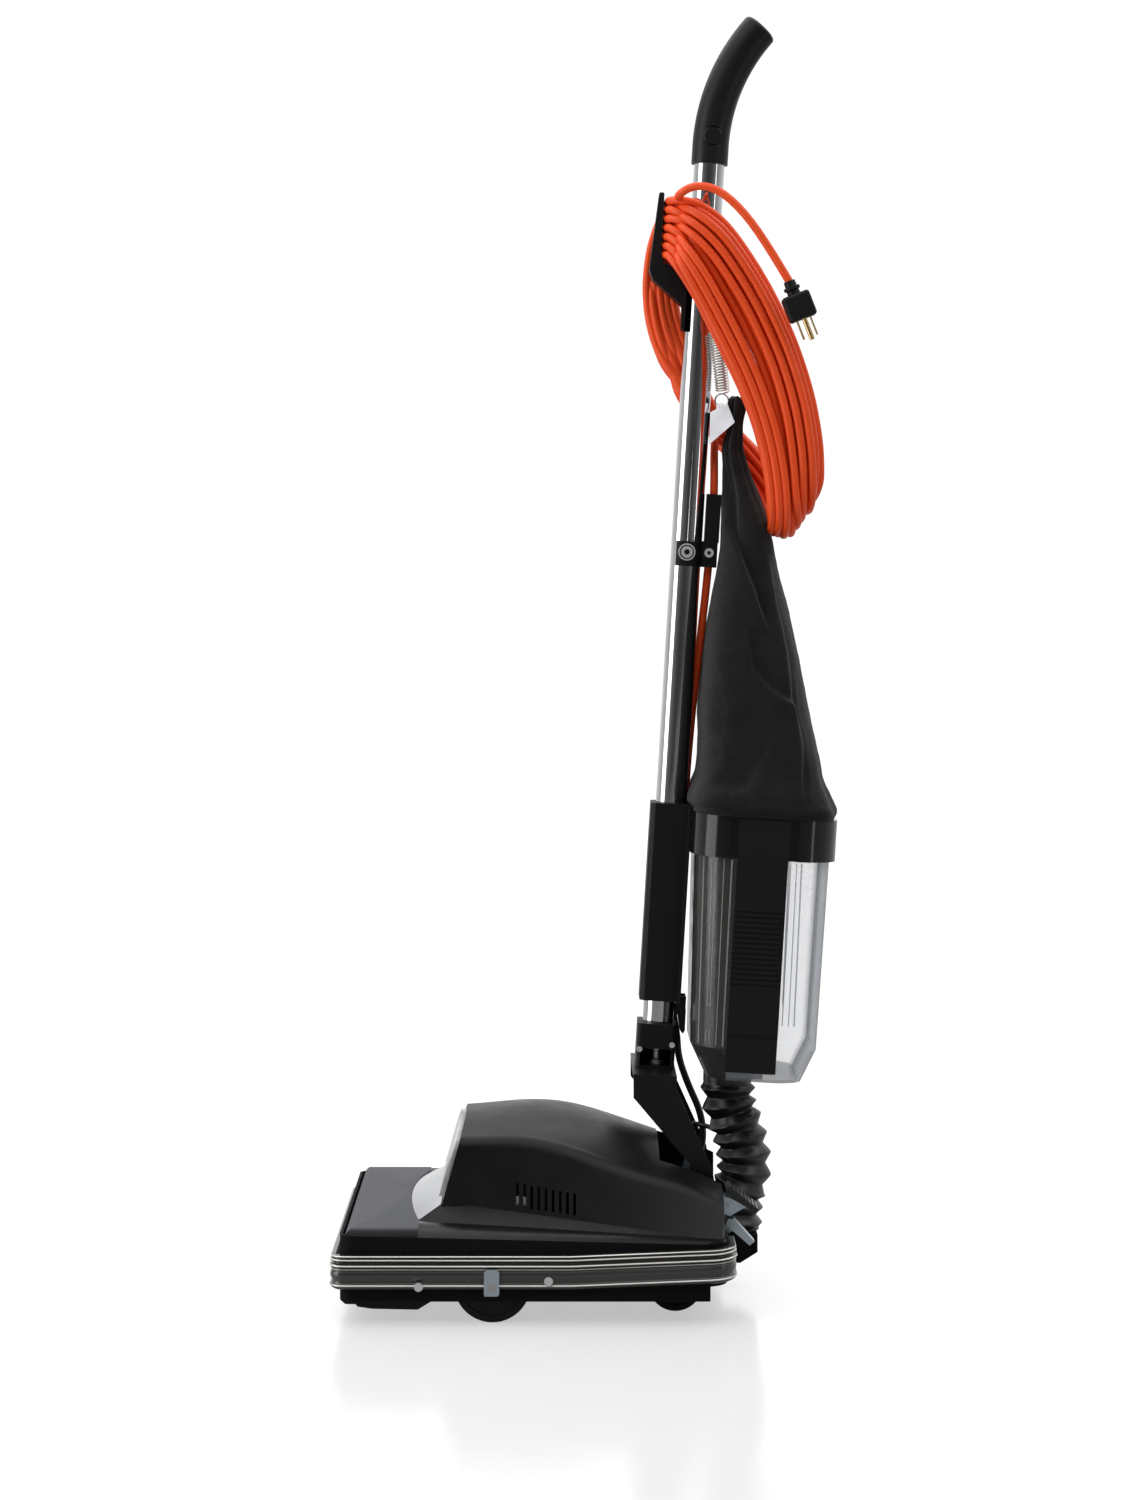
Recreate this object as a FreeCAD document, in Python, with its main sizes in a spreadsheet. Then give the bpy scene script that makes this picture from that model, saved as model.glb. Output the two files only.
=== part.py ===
import FreeCAD, Part
import math
import os

import Sketcher

# Upright vacuum cleaner for commercial cleaning: a wide floor base, a chrome handle on a
# yoke that tips back, a dirt cup under a cloth filter bag, and a long mains cord on a hook.
#
# World frame, millimetres: front faces -Y, +X is the machine's left, +Z up, floor at z = 0.
# Handle frame: origin on the yoke's pivot axis, x as in the world, u to the rear, w up along
# the tube. The handle stands a few degrees back, so its pieces are built upright in that
# frame and then placed as one.

Vector = FreeCAD.Vector
doc = FreeCAD.newDocument("upright_vacuum")
sheet = doc.addObject("Spreadsheet::Sheet", "sizes")


# ---------------------------------------------------------------- sizes kept in the sheet


class Size:
    """A length that knows its number and the sheet formula behind it."""

    def __init__(self, number, formula):
        self.number = number
        self.formula = formula

    def __float__(self):
        return float(self.number)

    def __add__(self, other):
        other = as_size(other)
        return Size(self.number + other.number, f"({self.formula} + {other.formula})")

    def __sub__(self, other):
        other = as_size(other)
        return Size(self.number - other.number, f"({self.formula} - {other.formula})")

    def __mul__(self, factor):
        factor = as_size(factor)
        return Size(self.number * factor.number, f"({self.formula} * {factor.formula})")

    def __truediv__(self, factor):
        factor = as_size(factor)
        return Size(self.number / factor.number, f"({self.formula} / {factor.formula})")

    def __radd__(self, other):
        return as_size(other) + self

    def __rsub__(self, other):
        return as_size(other) - self

    def __rmul__(self, factor):
        return self * factor

    def __neg__(self):
        return Size(-self.number, f"(-{self.formula})")


def as_size(value):
    if isinstance(value, Size):
        return value
    return Size(float(value), f"({float(value)!r})")


def driving(name, number):
    """Add one driving dimension to the sheet and return it as a Size."""
    driving.row += 1
    sheet.set(f"A{driving.row}", name)
    sheet.set(f"B{driving.row}", str(number))
    sheet.setAlias(f"B{driving.row}", name)
    return Size(float(number), f"sizes.{name}")


driving.row = 0

# base
base_half = driving("base_half_width", 156)
base_front = driving("base_front", -219)
base_rear = driving("base_rear", 124)
floor_low = driving("chassis_underside", 20)
wall = driving("wall_thickness", 2.6)
guard_depth = driving("guard_depth", 9)
guard_height = driving("guard_height", 30)
guard_low = driving("guard_underside", 31.5)
guard_rise = driving("guard_rear_slope_degrees", 2.4)
seam_front = driving("cover_seam_height_front", 78.1)
seam_slope = driving("cover_seam_slope_degrees", 1.4)
brush_y = driving("brush_roll_y", -184)
brush_z = driving("brush_roll_z", 33)
brush_core = driving("brush_core_radius", 14)
brush_tip = driving("brush_tip_radius", 25)
brush_half = driving("brush_half_length", 145)
front_wheel_r = driving("front_wheel_radius", 34)
front_wheel_y = driving("front_wheel_y", -84)
rear_wheel_r = driving("rear_wheel_radius", 24.5)
rear_wheel_y = driving("rear_wheel_y", 79.3)
axle_r = driving("axle_radius", 4)
running_gap = driving("running_clearance", 0.05)
motor_y = driving("motor_y", -60)
motor_z = driving("motor_z", 95)
motor_r = driving("motor_radius", 40)
shaft_r = driving("motor_shaft_radius", 4)
motor_pulley = driving("motor_pulley_radius", 6)
brush_pulley = driving("brush_pulley_radius", 15)
belt_x = driving("belt_x", 94)
belt_width = driving("belt_width", 9)
belt_thick = driving("belt_thickness", 2.4)

# handle
lean = driving("handle_lean_degrees", 3.45)
pivot_y = driving("pivot_y", 104)
pivot_z = driving("pivot_z", 100)
pin_r = driving("pivot_pin_radius", 4)
arm_inner = driving("yoke_arm_inner", 62)
plate = driving("yoke_plate", 3)
yoke_top = driving("yoke_top", 102.7)
tube_u = driving("tube_axis_u", -46.1)
tube_r = driving("tube_radius", 14.3)
tube_wall = driving("tube_wall", 1.2)
joint_w = driving("tube_joint_w", 564)
grip_r = driving("grip_radius", 17)
grip_low = driving("grip_bottom_w", 940.6)
grip_bend_w = driving("grip_bend_start_w", 957)
grip_bend_r = driving("grip_bend_radius", 180)
grip_turn = driving("grip_turn_degrees", 39.3)
button_w = driving("button_w", 966)
button_r = driving("button_radius", 9)

# cup, bezel and bag, in the handle frame
cup_front = driving("cup_front_u", -23.4)
cup_rear = driving("cup_rear_u", 100.3)
cup_half = driving("cup_half_width", 80)
cup_round = driving("cup_corner_radius", 40)
cup_top = driving("cup_top_w", 305.2)
cup_knee = driving("cup_knee_w", 131.6)
cup_low = driving("cup_bottom_w", 102)
cup_skin = driving("cup_wall", 2.4)
bezel_low = driving("bezel_bottom_w", 305.5)
bezel_top = driving("bezel_top_w", 343)
bracket_low = driving("bracket_bottom_w", 164.5)
bracket_top = driving("bracket_top_w", 347)
inlet_u = driving("inlet_u", 21.5)
spigot_r = driving("hose_spigot_radius", 19)
hose_r = driving("hose_radius", 26)
cord_r = driving("cord_radius", 3.8)
lead_r = driving("motor_lead_radius", 3.3)

doc.recompute()

HANDLE = FreeCAD.Placement(
    Vector(0, float(pivot_y), float(pivot_z)),
    FreeCAD.Rotation(Vector(1, 0, 0), -float(lean)),
)
LEVEL = FreeCAD.Rotation()
TO_X = FreeCAD.Rotation(Vector(0, 1, 0), 90)
TO_Y = FreeCAD.Rotation(Vector(1, 0, 0), -90)
SIDES = (-1, 1)


# ------------------------------------------------------------------ ways to make a piece

nodes = []


def point(*values):
    return Vector(*[float(v) for v in values])


def bind(obj, prop, value):
    """Drive a property from the sheet, or set it where the value is a plain number."""
    if isinstance(value, Size):
        obj.setExpression(prop, value.formula)
    else:
        setattr(obj, prop, value)


def node(label, obj, frame=None):
    """Make obj a sub-part: one named file. frame moves it, as with the handle's pieces."""
    obj.Label = label
    if frame is not None:
        obj.Placement = frame.multiply(obj.Placement)
    nodes.append((label, obj))
    return obj


def box(name, corner, dims):
    obj = doc.addObject("Part::Box", name)
    for prop, value in zip(("Length", "Width", "Height"), dims):
        bind(obj, prop, value)
    obj.Placement = FreeCAD.Placement(point(*corner), LEVEL)
    return obj


def cylinder(name, radius, length, start, turn=LEVEL):
    obj = doc.addObject("Part::Cylinder", name)
    bind(obj, "Radius", radius)
    bind(obj, "Height", length)
    obj.Placement = FreeCAD.Placement(point(*start), turn)
    return obj


def cut(name, base, *tools):
    obj = doc.addObject("Part::Cut", name)
    obj.Base = base
    obj.Tool = tools[0] if len(tools) == 1 else fuse(name + "_tools", *tools)
    return obj


def fuse(name, *shapes):
    obj = doc.addObject("Part::MultiFuse", name)
    obj.Shapes = list(shapes)
    obj.Refine = True
    return obj


def common(name, *shapes):
    obj = doc.addObject("Part::MultiCommon", name)
    obj.Shapes = list(shapes)
    return obj


def group(name, *shapes):
    obj = doc.addObject("Part::Compound", name)
    obj.Links = list(shapes)
    return obj


def ring(name, outer, inner, length, start, turn=LEVEL):
    return cut(
        name,
        cylinder(name + "_outer", outer, length, start, turn),
        cylinder(name + "_bore", inner, length, start, turn),
    )


def plane_of(body, role):
    return next(f for f in body.Origin.OriginFeatures if f.Role == role)


def sketch_on(body, role, start):
    sketch = body.newObject("Sketcher::SketchObject", body.Name + "_sketch")
    sketch.AttachmentSupport = (plane_of(body, role), "")
    sketch.MapMode = "FlatFace"
    sketch.AttachmentOffset = FreeCAD.Placement(point(0, 0, start), LEVEL)
    return sketch


def draw_outline(sketch, corners):
    """A closed outline with each corner's place held by the sheet."""
    count = len(corners)
    for i in range(count):
        a, b = corners[i], corners[(i + 1) % count]
        sketch.addGeometry(Part.LineSegment(point(*a, 0), point(*b, 0)))
    for i in range(count):
        sketch.addConstraint(Sketcher.Constraint("Coincident", i, 2, (i + 1) % count, 1))
    for i, corner in enumerate(corners):
        for kind, value in zip(("DistanceX", "DistanceY"), corner):
            number = sketch.addConstraint(
                Sketcher.Constraint(kind, -1, 1, i, 1, float(value))
            )
            if isinstance(value, Size):
                sketch.setExpression(f"Constraints[{number}]", value.formula)


def prism(name, role, corners, start, length):
    """A padded body. The pad starts at start along the plane's normal: +Z for XY_Plane,
    +X for YZ_Plane, and -Y for XZ_Plane."""
    body = doc.addObject("PartDesign::Body", name)
    sketch = sketch_on(body, role, start)
    draw_outline(sketch, corners)
    pad = body.newObject("PartDesign::Pad", name + "_pad")
    pad.Profile = sketch
    bind(pad, "Length", length)
    body.Tip = pad
    return body


def turned(name, corners):
    """A revolved body: corners are (radius, height) about the Z axis."""
    body = doc.addObject("PartDesign::Body", name)
    sketch = sketch_on(body, "XZ_Plane", 0)
    draw_outline(sketch, corners)
    turn = body.newObject("PartDesign::Revolution", name + "_turn")
    turn.Profile = sketch
    turn.ReferenceAxis = (sketch, ["V_Axis"])
    turn.Angle = 360
    body.Tip = turn
    return body


def rounded(body, radius, wanted):
    """Fillet the edges of the body's tip that wanted() picks."""
    doc.recompute()
    tip = body.Tip
    names = [f"Edge{i + 1}" for i, e in enumerate(tip.Shape.Edges) if wanted(e)]
    fillet = body.newObject("PartDesign::Fillet", body.Name + "_rounding")
    fillet.Base = (tip, names)
    bind(fillet, "Radius", radius)
    body.Tip = fillet
    return body


def is_along(edge, axis):
    if edge.Curve.TypeId != "Part::GeomLine":
        return False
    return abs(edge.Curve.Direction.dot(axis)) > 0.999


def shape_object(name, shape, frame=None):
    obj = doc.addObject("Part::Feature", name)
    obj.Shape = shape
    if frame is not None:
        obj.Placement = frame
    return obj


def loft(name, wires, ruled=True):
    obj = doc.addObject("Part::Loft", name)
    obj.Sections = [shape_object(f"{name}_section", wire) for wire in wires]
    obj.Solid = True
    obj.Ruled = ruled
    return obj


def extrusion(name, wire, direction, length):
    obj = doc.addObject("Part::Extrusion", name)
    obj.Base = shape_object(name + "_outline", wire)
    obj.DirMode = "Custom"
    obj.Dir = direction
    bind(obj, "LengthFwd", length)
    obj.Solid = True
    return obj


def closed_wire(steps):
    """A closed wire from points; a pair (through, end) draws an arc to end."""
    start = steps[0]
    here = start
    edges = []
    for step in list(steps[1:]) + [start]:
        if isinstance(step, tuple):
            edges.append(Part.Arc(here, step[0], step[1]).toShape())
            here = step[1]
        elif here.distanceToPoint(step) > 1e-6:
            edges.append(Part.LineSegment(here, step).toShape())
            here = step
    return Part.Wire(edges)


def rounded_rectangle(u0, u1, half, radius, w):
    """A wire at height w in the handle frame, u0 to u1 deep and 2 * half wide."""
    u0, u1, half, r, w = (float(v) for v in (u0, u1, half, radius, w))
    k = r * (1 - math.sqrt(0.5))
    return closed_wire(
        [
            Vector(-half + r, u0, w),
            Vector(half - r, u0, w),
            (Vector(half - k, u0 + k, w), Vector(half, u0 + r, w)),
            Vector(half, u1 - r, w),
            (Vector(half - k, u1 - k, w), Vector(half - r, u1, w)),
            Vector(-half + r, u1, w),
            (Vector(-half + k, u1 - k, w), Vector(-half, u1 - r, w)),
            Vector(-half, u0 + r, w),
            (Vector(-half + k, u0 + k, w), Vector(-half + r, u0, w)),
        ]
    )


def route(points, radii=None):
    """Straight runs joined by tangent arcs. Returns the wire and its arc radii."""
    points = [point(*p) for p in points]
    edges, used = [], []
    here = points[0]
    for i in range(1, len(points) - 1):
        back, ahead = points[i - 1] - points[i], points[i + 1] - points[i]
        half = (math.pi - back.getAngle(ahead)) / 2
        reach = 0.45 * min(back.Length, ahead.Length)
        if radii:
            reach = radii[i - 1] * math.tan(half)
        radius = reach / math.tan(half)
        used.append(radius)
        a = points[i] + back.normalize() * reach
        b = points[i] + ahead.normalize() * reach
        inward = (back + ahead).normalize()
        middle = points[i] + inward * (radius / math.cos(half) - radius)
        edges.append(Part.LineSegment(here, a).toShape())
        edges.append(Part.Arc(a, middle, b).toShape())
        here = b
    edges.append(Part.LineSegment(here, points[-1]).toShape())
    return Part.Wire(edges), used


def swept(name, points, outer, inner=None, radii=None):
    """A round cord, cable or duct along a route, checked against section times length."""
    wire, used = route(points, radii)
    start = wire.Edges[0]
    direction = start.tangentAt(start.FirstParameter)

    def sweep(radius):
        circle = Part.Wire([Part.makeCircle(radius, point(*points[0]), direction)])
        return wire.makePipeShell([circle], True, False)

    solid = sweep(float(outer))
    section = math.pi * float(outer) ** 2
    if inner is not None:
        solid = solid.cut(sweep(float(inner)))
        section -= math.pi * float(inner) ** 2
    ratio = solid.Volume / (section * wire.Length)
    print(
        f"{name}: length {wire.Length:.1f} mm, smallest radius {min(used):.1f} mm, "
        f"volume ratio {ratio:.4f}"
    )
    assert abs(ratio - 1) < 0.01, name
    return shape_object(name, solid)


# ---------------------------------------------------------------------------- base shell


def seam_height(y):
    """Where the covers meet the chassis walls."""
    return float(seam_front) - (y + 213) * math.tan(math.radians(float(seam_slope)))


def footprint(name, inset, low, height):
    """The base's plan outline with its rounded corners, inset all round."""
    half = base_half - inset
    corners = [
        (-half, base_front + inset),
        (half, base_front + inset),
        (half, base_rear - inset),
        (-half, base_rear - inset),
    ]
    body = prism(name, "XY_Plane", corners, low, height)
    rounded(body, 12 - inset, lambda e: is_along(e, Vector(0, 0, 1)) and e.Vertexes[0].Y < 0)
    return rounded(
        body, 22 - inset, lambda e: is_along(e, Vector(0, 0, 1)) and e.Vertexes[0].Y > 0
    )


NOTCH_HALF = 32
NOTCH_FRONT = 109


def notch(name, margin):
    """The bay in the middle of the rear wall where the hose comes down."""
    return box(
        name,
        (-NOTCH_HALF - margin, NOTCH_FRONT - margin, 0),
        (2 * (NOTCH_HALF + margin), 60, 200),
    )


def under_seam(name, above=False):
    """Half-space below the cover seam, or above it."""
    half = box(name, (-200, -260, 0 if above else -200), (400, 420, 200))
    slope = FreeCAD.Rotation(Vector(1, 0, 0), -float(seam_slope))
    centre = Vector(0, -213, seam_height(-213))
    shift = slope.multVec(Vector(-200, -47, 0 if above else -200))
    half.Placement = FreeCAD.Placement(centre + shift, slope)
    return half


def wheel_wells():
    tools = []
    for side in SIDES:
        x = 127 if side > 0 else -153.2
        tools.append(box("front_well", (x, front_wheel_y - 39, 15), (26.2, 78, 12)))
        x = 85 if side > 0 else -109
        tools.append(box("rear_well", (x, rear_wheel_y - 29, 15), (24, 58, 12)))
    return tools


def axle_holes(name, radius):
    holes = []
    for side in SIDES:
        start = 120 if side > 0 else -170
        holes.append(
            cylinder(name, radius, 50, (start, front_wheel_y, front_wheel_r), TO_X)
        )
        start = 79 if side > 0 else -115
        holes.append(
            cylinder(name, radius, 36, (start, rear_wheel_y, rear_wheel_r), TO_X)
        )
    return holes


# behind the rear wheels the underside steps up
TAIL_Y = 108.6
TAIL_LOW = 33


def make_chassis():
    shell = cut(
        "chassis_tub",
        footprint("chassis_outer", 0, floor_low, 70),
        cut(
            "chassis_cavity",
            footprint("chassis_inner", wall, floor_low + 3, 70),
            notch("chassis_notch_wall", float(wall)),
        ),
    )
    ribs = [box("chamber_wall", (-154, -152, 22), (308, 2.6, 48))]
    for side in SIDES:
        x = 122 if side > 0 else -125
        ribs.append(box("front_axle_rib", (x, front_wheel_y - 12, 22), (3, 24, 24)))
        for inner in (80.5, 111):
            x = inner if side > 0 else -inner - 3
            ribs.append(box("rear_axle_rib", (x, rear_wheel_y - 10, 18), (3, 20, 18)))
        x = 100 if side > 0 else -104
        ribs.append(box("lifting_rib", (x, -10, 13), (4, 4, 9)))
        ribs.append(box("lifting_rib", (x, -3, 13), (4, 4, 9)))
    ribs.append(box("tail_wall", (-154, TAIL_Y - 2.6, 22), (308, 2.6, 14)))
    ribs.append(
        common(
            "tail_floor",
            footprint("tail_floor_plan", 1, TAIL_LOW, 3),
            box("tail_floor_room", (-160, TAIL_Y - 2.6, TAIL_LOW), (320, 60, 3)),
        )
    )
    tools = wheel_wells() + axle_holes("chassis_axle_hole", axle_r)
    tools += [
        notch("chassis_notch", 0),
        box("tail_undercut", (-160, TAIL_Y, 10), (320, 30, TAIL_LOW - 10)),
        box("mouth_hole", (-146, -212, 15), (292, 56, 10)),
        box("belt_slot", (belt_x - 8, -153, 23), (16, 5, 43)),
        box("suction_slot", (-106, -153, 32), (16, 5, 34)),
        cylinder("outlet_hole", 14, 30, (0, 95, 44), TO_Y),
    ]
    walls = cut("chassis_walls", fuse("chassis_solid", shell, *ribs), *tools)
    return common("chassis_body", walls, under_seam("chassis_below_seam"))


def cover_profile(inset):
    """The nozzle cover seen from the front: crowned top and rounded shoulders."""
    half = float(base_half) - inset
    y = 0
    return closed_wire(
        [
            Vector(-half, y, 50),
            Vector(half, y, 50),
            Vector(half, y, 75 - inset),
            (Vector(half - 3.4, y, 80.6 - inset), Vector(half - 10, y, 83 - inset)),
            (Vector(0, y, 88 - inset), Vector(-half + 10, y, 83 - inset)),
            (Vector(-half + 3.4, y, 80.6 - inset), Vector(-half, y, 75 - inset)),
        ]
    )


def cover_side(inset):
    """The nozzle cover seen from the side: a raked front with a rolled edge."""
    x = -200
    front = float(base_front) + inset
    return closed_wire(
        [
            Vector(x, front, 50),
            Vector(x, front + 0.4, 63 - inset),
            Vector(x, front + 4.2, 76 - inset),
            (Vector(x, front + 6.9, 80.8 - inset), Vector(x, front + 12, 83.4 - inset)),
            Vector(x, -150, 90 - inset),
            Vector(x, -150, 50),
        ]
    )


def cover_solid(name, inset):
    profile = extrusion(name + "_crown", cover_profile(inset), Vector(0, -1, 0), 260)
    side = extrusion(name + "_rake", cover_side(inset), Vector(1, 0, 0), 400)
    plan = footprint(name + "_plan", as_size(inset), 40, 70)
    return common(name, profile, side, plan)


def deck_section(y, inset):
    """The deck across the machine: shoulder, sloping ledge, and the hood's seat."""
    half = float(base_half) - inset
    ledge = 115 + (y + 150) * 0.119
    ledge_z = 83 - (y + 150) * 0.0365 - inset
    seat, seat_z = hood_foot(y)
    seat_z -= inset
    seam = seam_height(y) - inset
    low = 50
    bulge = Vector(half - 0.22 * (half - ledge), y, seam + 0.72 * (ledge_z - seam))
    mirror = Vector(-bulge.x, y, bulge.z)
    return closed_wire(
        [
            Vector(-half, y, low),
            Vector(half, y, low),
            Vector(half, y, seam),
            (bulge, Vector(ledge, y, ledge_z)),
            Vector(seat, y, seat_z),
            Vector(-seat, y, seat_z),
            Vector(-ledge, y, ledge_z),
            (mirror, Vector(-half, y, seam)),
        ]
    )


def hood_foot(y):
    """Half-width and height of the hood's foot line at y."""
    if y < -128:
        share = (y + 150) / 22
        return 114 - 19 * share, 83.6 + 12.4 * share
    return 95 + (y + 128) * 0.2174, 96 - (y + 128) * 0.0965


DECK_STATIONS = (-150, -128, -24, 60, 130)


def deck_solid(name, inset):
    return loft(name, [deck_section(y, inset) for y in DECK_STATIONS])


def trim_solid():
    """The bright plate that rises from the nozzle cover to the foot of the lens."""
    front = Part.Arc(Vector(-115, -151, 83.6), Vector(0, -161.5, 87.4), Vector(115, -151, 83.6))
    rear = Part.LineSegment(Vector(-98, -131.5, 94.7), Vector(98, -131.5, 94.7))
    sheet_face = Part.makeRuledSurface(front.toShape(), rear.toShape())
    return sheet_face.extrude(Vector(0, 0, -3))


def make_covers():
    trim = shape_object("trim_plate", trim_solid())
    plan = extrusion(
        "trim_plan",
        closed_wire(
            [
                Vector(-115, -151, 60),
                (Vector(0, -161.5, 60), Vector(115, -151, 60)),
                Vector(95, -128, 60),
                Vector(-95, -128, 60),
            ]
        ),
        Vector(0, 0, 1),
        60,
    )
    above = under_seam("nozzle_above_seam", above=True)
    nozzle = common(
        "nozzle_cover_body",
        cut("nozzle_cover_shell", cover_solid("nozzle_outer", 0), cover_solid("nozzle_inner", 2.6), plan),
        above,
    )
    deck_cavity = cut(
        "deck_cavity", deck_solid("deck_inner", 2.6), notch("deck_notch_wall", float(wall))
    )
    opening = extrusion(
        "deck_opening",
        closed_wire(
            [
                Vector(-89.9, -124, 60),
                Vector(89.9, -124, 60),
                Vector(137.7, 96, 60),
                Vector(-137.7, 96, 60),
            ]
        ),
        Vector(0, 0, 1),
        80,
    )
    shell = cut("deck_shell", deck_solid("deck_outer", 0), deck_cavity)
    belt_room = box("deck_belt_room", (belt_x - 6, -124, 60), (12, 60, 40))
    deck = common(
        "top_deck_body",
        cut("deck_open", shell, opening, belt_room, notch("deck_notch", 0), trim),
        footprint("deck_plan", 0, 40, 80),
        under_seam("deck_above_seam", above=True),
    )
    return nozzle, deck, trim


# ------------------------------------------------------------------------------ the hood

# y, crease half-width, crease height, crown height
HOOD_STATIONS = (
    (-136, 84.5, 149.5, 161.5),
    (-100, 88.6, 152.3, 166.2),
    (-60, 92, 152.9, 170),
    (-20, 97.6, 145.9, 168.6),
    (20, 105.4, 132.8, 158),
    (60, 112.6, 122.6, 143.5),
    (100, 119.8, 111.6, 127),
    (130, 124, 99, 112),
)
LENS_RAKE = math.degrees(math.atan2(19.5, 69))


def hood_section(station, inset):
    y, crease, crease_z, crown = station
    foot, foot_z = hood_foot(y)
    foot -= inset
    crease -= inset
    crease_z -= inset
    crown -= inset
    r = 9
    down = Vector(foot - crease, 0, foot_z - crease_z).normalize()
    over = Vector(-crease, 0, crown - crease_z).normalize()
    below = Vector(crease, y, crease_z) + down * r
    beyond = Vector(crease, y, crease_z) + over * r
    turn = Vector(crease, y, crease_z) + (down + over) * (r * 0.27)

    def mirrored(v):
        return Vector(-v.x, v.y, v.z)

    return closed_wire(
        [
            Vector(-foot, y, foot_z),
            Vector(foot, y, foot_z),
            below,
            (turn, beyond),
            (Vector(0, y, crown), mirrored(beyond)),
            (mirrored(turn), mirrored(below)),
        ]
    )


def hood_solid(name, inset):
    return loft(name, [hood_section(s, inset) for s in HOOD_STATIONS], ruled=False)


def raked_slab(name, behind, thickness):
    """A slab parallel to the raked front of the hood, behind it by behind."""
    slab = box(name, (-150, 0, 0), (300, thickness, 200))
    turn = FreeCAD.Rotation(Vector(1, 0, 0), -LENS_RAKE)
    shift = turn.multVec(Vector(-150, behind, -30))
    slab.Placement = FreeCAD.Placement(Vector(0, -130, 96) + shift, turn)
    return slab


def yoke_well(name, margin):
    """The well in the rear of the hood that the yoke swings in."""
    return box(name, (-80 - margin, 66 - margin, 84 - margin), (160 + 2 * margin, 90, 90))


def make_hood():
    plan = footprint("hood_plan", 2, 40, 150)
    front = raked_slab("hood_front_cut", -60, 60)
    cavity = cut(
        "hood_cavity",
        hood_solid("hood_inner", 2.6),
        yoke_well("hood_well_wall", float(wall)),
        notch("hood_notch_wall", float(wall)),
        raked_slab("hood_front_wall", -60, 63),
        box("hood_rear_wall", (-200, 119.4, 0), (400, 30, 300)),
    )
    lens = common(
        "headlight_lens_body",
        hood_solid("lens_outline", 4.5),
        raked_slab("lens_slab", -4.5, 7.5),
        box("lens_limit", (-120, -160, 101), (240, 90, 90)),
    )
    slots = []
    for i in range(9):
        y = -62.4 + 6.4 * i
        low = hood_foot(y)[1] + 4
        high = 114.7 - (y + 62.4) * 0.152
        for side in SIDES:
            x = 84 if side > 0 else -134
            slots.append(box("vent_slot", (x, y - 1.3, low), (50, 2.6, high - low)))
    seats = [box("bracket_seat", (x, 88, 60), (3, 32, 40)) for x in (57, -60)]
    tools = [front, yoke_well("hood_well", 0), notch("hood_notch", 0), cavity, lens]
    hood = cut(
        "motor_hood_body",
        common("hood_block", hood_solid("hood_outer", 0), plan),
        *tools,
        *slots,
        *seats,
    )
    return hood, lens


# ----------------------------------------------------------------------- furniture guard


def guard_profile(low):
    """Outer beads and hollows of the guard strip, from its lower edge up."""
    scallops = (
        (7.0, 3.6, 0.0, -1.6),
        (16.8, 12.0, -2.8, -1.4),
        (19.2, 18.0, -0.7, -1.4),
        (22.6, 20.9, 0.0, -1.4),
        (24.8, 23.6, -2.4, -1.4),
        (27.6, 26.1, -0.3, -1.2),
        (28.6, 28.1, -1.7, -1.2),
        (30.0, 29.3, 0.0, -0.8),
    )
    y = 0
    outer = -float(base_half) - float(guard_depth)
    steps = [Vector(-float(base_half), y, low), Vector(outer + 1.6, y, low)]
    for end, middle, bulge, edge in scallops:
        steps.append((Vector(outer - bulge, y, low + middle), Vector(outer - edge, y, low + end)))
    steps.append(Vector(-float(base_half), y, low + float(guard_height)))
    return closed_wire(steps)


def make_guard():
    """A ribbed strip swept round the base; behind the knee it climbs a little."""
    knee = -14
    outer = float(base_half) + float(guard_depth)
    front = float(base_front) - float(guard_depth)
    rear = float(base_rear) + float(guard_depth)
    low = float(guard_low)
    climb = math.tan(math.radians(float(guard_rise)))
    r_front, r_rear = 14, 24
    k_front = r_front * (1 - math.sqrt(0.5))
    k_rear = r_rear * (1 - math.sqrt(0.5))

    def at(x, y):
        return Vector(x, y, low + max(0, y - knee) * climb)

    path = Part.Wire(
        [
            Part.LineSegment(at(-outer, 0), at(-outer, knee)).toShape(),
            Part.LineSegment(at(-outer, knee), at(-outer, front + r_front)).toShape(),
            Part.Arc(
                at(-outer, front + r_front),
                at(-outer + k_front, front + k_front),
                at(-outer + r_front, front),
            ).toShape(),
            Part.LineSegment(at(-outer + r_front, front), at(0, front)).toShape(),
        ]
    )
    rear_path = Part.Wire(
        [
            Part.LineSegment(at(-outer, 0), at(-outer, rear - r_rear)).toShape(),
            Part.Arc(
                at(-outer, rear - r_rear),
                at(-outer + k_rear, rear - k_rear),
                at(-outer + r_rear, rear),
            ).toShape(),
            Part.LineSegment(at(-outer + r_rear, rear), at(-103, rear)).toShape(),
        ]
    )

    def strip(wire):
        maker = Part.BRepOffsetAPI.MakePipeShell(wire)
        maker.setBiNormalMode(Vector(0, 0, 1))
        maker.setTransitionMode(1)
        maker.add(guard_profile(low - knee * climb))
        maker.build()
        maker.makeSolid()
        return maker.shape()

    half = strip(path).fuse(strip(rear_path))
    whole = half.fuse(half.mirror(Vector(0, 0, 0), Vector(1, 0, 0))).removeSplitter()
    length = 2 * (path.Length + rear_path.Length)
    print(f"furniture_guard: volume per length {whole.Volume / length:.1f} mm2")
    guard = shape_object("guard_strip", whole)
    return cut("furniture_guard_body", guard, *axle_holes("guard_axle_hole", axle_r))


# ------------------------------------------------------------- under the base: nozzle foot

BARS = (-87, -29, 29, 87)


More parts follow.
